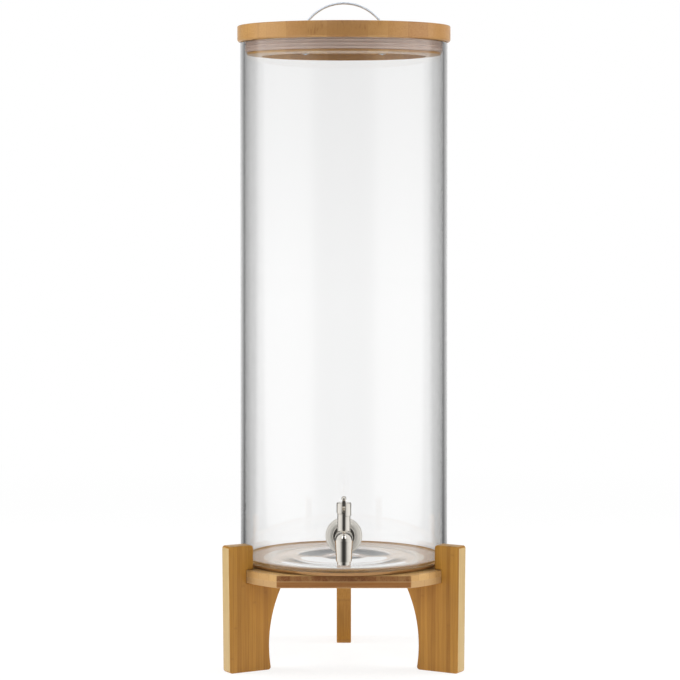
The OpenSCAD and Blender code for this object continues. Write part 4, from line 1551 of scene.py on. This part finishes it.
@dataclass
class Studio:
    """The camera, the pale floor, the soft lamps and the white surroundings.

    Lengths of the floor and of the aim are metres, those of the camera millimetres. The
    walls are pairs of an angle from the back and of how bright it looks, the same on the
    left and on the right. The front's share of light begins and ends at angles that are
    given as parts of a half turn.
    """

    lens: float = 132.2
    camera_back: float = 2171.4
    camera_up: float = 425.64
    camera_tilt: float = -0.021
    shift: tuple[float, float] = (-0.0057, -0.170)
    sensor: float = 36.0
    clip_end: float = 50.0
    aim_z: float = 0.28
    ambient: float = 0.03
    walls: tuple[tuple[float, float], ...] = (
        (0, 1.0), (6, 0.98), (12, 0.87), (20, 0.6), (30, 0.28), (40, 0.05), (64, 0.03),
        (72, 0.98), (108, 0.98), (120, 0.92), (138, 0.85), (150, 0.5), (164, 0.09),
        (180, 0.03))
    front_fill: float = 0.55
    card_low: float = 1.02
    card_top: float = 0.92
    card_seam: float = 0.05
    front_from: float = 0.5
    front_to: float = 0.6
    floor_size: float = 16.0
    floor_far: tuple[float, float] = (0.3, 1.5)
    floor_beyond: tuple[float, float] = (0.07, 0.13)
    mirror_h: float = 0.3
    floor_glow: float = 0.8
    floor_paint: float = 0.26
    floor_bounce: float = 0.8
    floor_light: float = 0.5
    lamps: tuple[Lamp, ...] = (
        Lamp("left_light", Role.LIGHT, -90, 25, 1.6, 0.9, 1.5, 0.85),
        Lamp("right_light", Role.LIGHT, 90, 25, 1.6, 0.9, 1.5, 0.85),
        Lamp("front_light", Role.LIGHT, 0, 30, 1.8, 1.4, 1.0, 0.35),
        Lamp("top_light", Role.LIGHT, 180, 80, 1.6, 1.2, 1.2, 0.35),
        Lamp("left_shine", Role.SHINE, -22, 38, 1.4, 0.36, 0.9, 1.7),
        Lamp("right_shine", Role.SHINE, 22, 38, 1.4, 0.36, 0.9, 1.7),
    )

    def build(self) -> None:
        """Set up everything round the object."""
        self.camera()
        self.world()
        self.floor()
        aim = Vector((0, AXIS_Y * MM, self.aim_z))
        for lamp in self.lamps:
            lamp.hang(aim)
        bpy.context.scene.view_settings.view_transform = "Standard"

    def camera(self) -> None:
        """Stand the camera where the photograph was taken from."""
        data = bpy.data.cameras.new("camera")
        data.lens = self.lens
        data.sensor_width = self.sensor
        data.shift_x, data.shift_y = self.shift
        data.clip_end = self.clip_end
        camera = bpy.data.objects.new("camera", data)
        bpy.context.scene.collection.objects.link(camera)
        camera.location = Vector((0, AXIS_Y - self.camera_back, self.camera_up)) * MM
        camera.rotation_euler = (math.pi / 2 + self.camera_tilt, 0, 0)
        bpy.context.scene.camera = camera

    def card(self, tree: bpy.types.NodeTree, way: Any) -> bpy.types.Node:
        """Return how bright gloss and glass see the studio in a direction.

        Args:
            tree: the tree that gets the nodes.
            way: the direction's socket or node.

        Returns:
            The node that follows the walls: a white card behind the object and a bright
            panel on either side, with dark cloth between them. What glass lets through
            from the front is lit.
        """
        add = partial(add_node, tree)
        parts = add("SeparateXYZ", {0: way})
        beside = add("Math", {0: parts.outputs["X"]}, operation="ABSOLUTE")
        angle = add("Math", {0: beside, 1: parts.outputs["Y"]}, operation="ARCTAN2")
        share = add("Math", {0: angle, 1: 1 / math.pi}, operation="MULTIPLY")
        ramp = add("ValToRGB", {0: share})
        stops = ramp.color_ramp.elements
        stops.remove(stops[0])
        for place, (degrees, level) in enumerate(self.walls):
            stop = stops[0] if place == 0 else stops.new(degrees / 180)
            stop.position = degrees / 180
            stop.color = (level, level, level, 1.0)
        upward = add("MapRange", {
            "Value": parts.outputs["Z"], "From Min": -self.card_seam, "From Max": self.card_seam,
            "To Min": self.card_low, "To Max": self.card_top})
        walls = add("Math", {0: ramp, 1: upward}, operation="MULTIPLY")
        path = add("LightPath")
        ahead = add("MapRange", {
            "Value": share, "From Min": self.front_from, "From Max": self.front_to,
            "To Max": self.front_fill})
        through = add("Math", {
            0: ahead, 1: path.outputs["Is Transmission Ray"]}, operation="MULTIPLY")
        return add("Math", {0: walls, 1: through}, operation="MAXIMUM")

    def world(self) -> None:
        """Surround the object with white. Gloss and glass see the studio's walls instead."""
        world = bpy.data.worlds.new("studio")
        world.use_nodes = True
        bpy.context.scene.world = world
        tree = world.node_tree
        tree.nodes.clear()
        add = partial(add_node, tree)
        path = add("LightPath")
        place = add("TexCoord")
        behind = self.card(tree, place.outputs["Generated"])
        seen = add("Mix", {0: path.outputs["Is Camera Ray"], LEVEL_A: behind, LEVEL_B: 1.0})
        scattered = add("Math", {
            0: path.outputs["Diffuse Depth"], 1: 0.5}, operation="GREATER_THAN")
        level = add("Mix", {0: scattered, LEVEL_A: seen, LEVEL_B: self.ambient})
        glow = add("Background", {"Color": (1.0, 1.0, 1.0, 1.0), "Strength": level})
        add("OutputWorld", {"Surface": glow})

    def floor(self) -> None:
        """Lay a pale floor that looks white and keeps the object's soft shadow.

        Only the camera sees its paint. Gloss and glass see it mirror the studio's walls
        away from the object, and light that a surface has scattered sees it evenly lit.
        """
        bpy.ops.object.select_all(action="DESELECT")
        bpy.ops.mesh.primitive_plane_add(size=self.floor_size, location=(0, 0, 0))
        floor = bpy.context.object
        floor.name = "floor"
        material = bpy.data.materials.new("white floor")
        material.use_nodes = True
        tree = material.node_tree
        tree.nodes.clear()
        add = partial(add_node, tree)
        path = add("LightPath")
        place = add("TexCoord")
        away = add("VectorMath", {0: place.outputs["Object"]}, operation="LENGTH")
        far = add("MapRange", {
            "Value": away.outputs["Value"], "From Min": self.floor_far[0],
            "From Max": self.floor_far[1]}, interpolation_type="SMOOTHSTEP")
        scattered = add("Math", {
            0: path.outputs["Diffuse Depth"], 1: 0.5}, operation="GREATER_THAN")
        beyond = add("MapRange", {
            "Value": away.outputs["Value"], "From Min": self.floor_beyond[0],
            "From Max": self.floor_beyond[1]}, interpolation_type="SMOOTHSTEP")
        downward = add("VectorMath", {
            0: place.outputs["Object"], 1: (0, 0, -self.mirror_h)}, operation="ADD")
        way = add("VectorMath", {0: downward}, operation="NORMALIZE")
        walls = self.card(tree, way)
        mirrored = add("Mix", {0: beyond, LEVEL_A: self.floor_glow, LEVEL_B: walls})
        plain = add("Mix", {0: far, LEVEL_A: self.floor_glow, LEVEL_B: 1.0})
        glow = add("Mix", {0: path.outputs["Is Camera Ray"], LEVEL_A: mirrored, LEVEL_B: plain})
        shown = add("Mix", {0: scattered, LEVEL_A: glow, LEVEL_B: self.floor_light})
        paint_near = add("Mix", {0: far, LEVEL_A: self.floor_paint, LEVEL_B: 0.0})
        paint_seen = add("Mix", {
            0: path.outputs["Is Camera Ray"], LEVEL_A: 0.0, LEVEL_B: paint_near})
        paint_all = add("Mix", {0: scattered, LEVEL_A: paint_seen, LEVEL_B: self.floor_bounce})
        lit = add("BsdfDiffuse", {"Color": paint_all})
        light = add("Emission", {"Strength": shown})
        both = add("AddShader", {0: lit, 1: light})
        add("OutputMaterial", {"Surface": both})
        floor.data.materials.append(material)


def main() -> None:
    """Build the object's parts in order, then the studio."""
    logging.basicConfig(level=logging.INFO, format="%(name)s: %(message)s")
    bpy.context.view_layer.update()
    for part in (Vessel(), Lid(), Stand(), Tap(), Studio()):
        part.build()
        LOG.info("%s is ready", type(part).__name__)


if __name__ == "__main__":
    main()
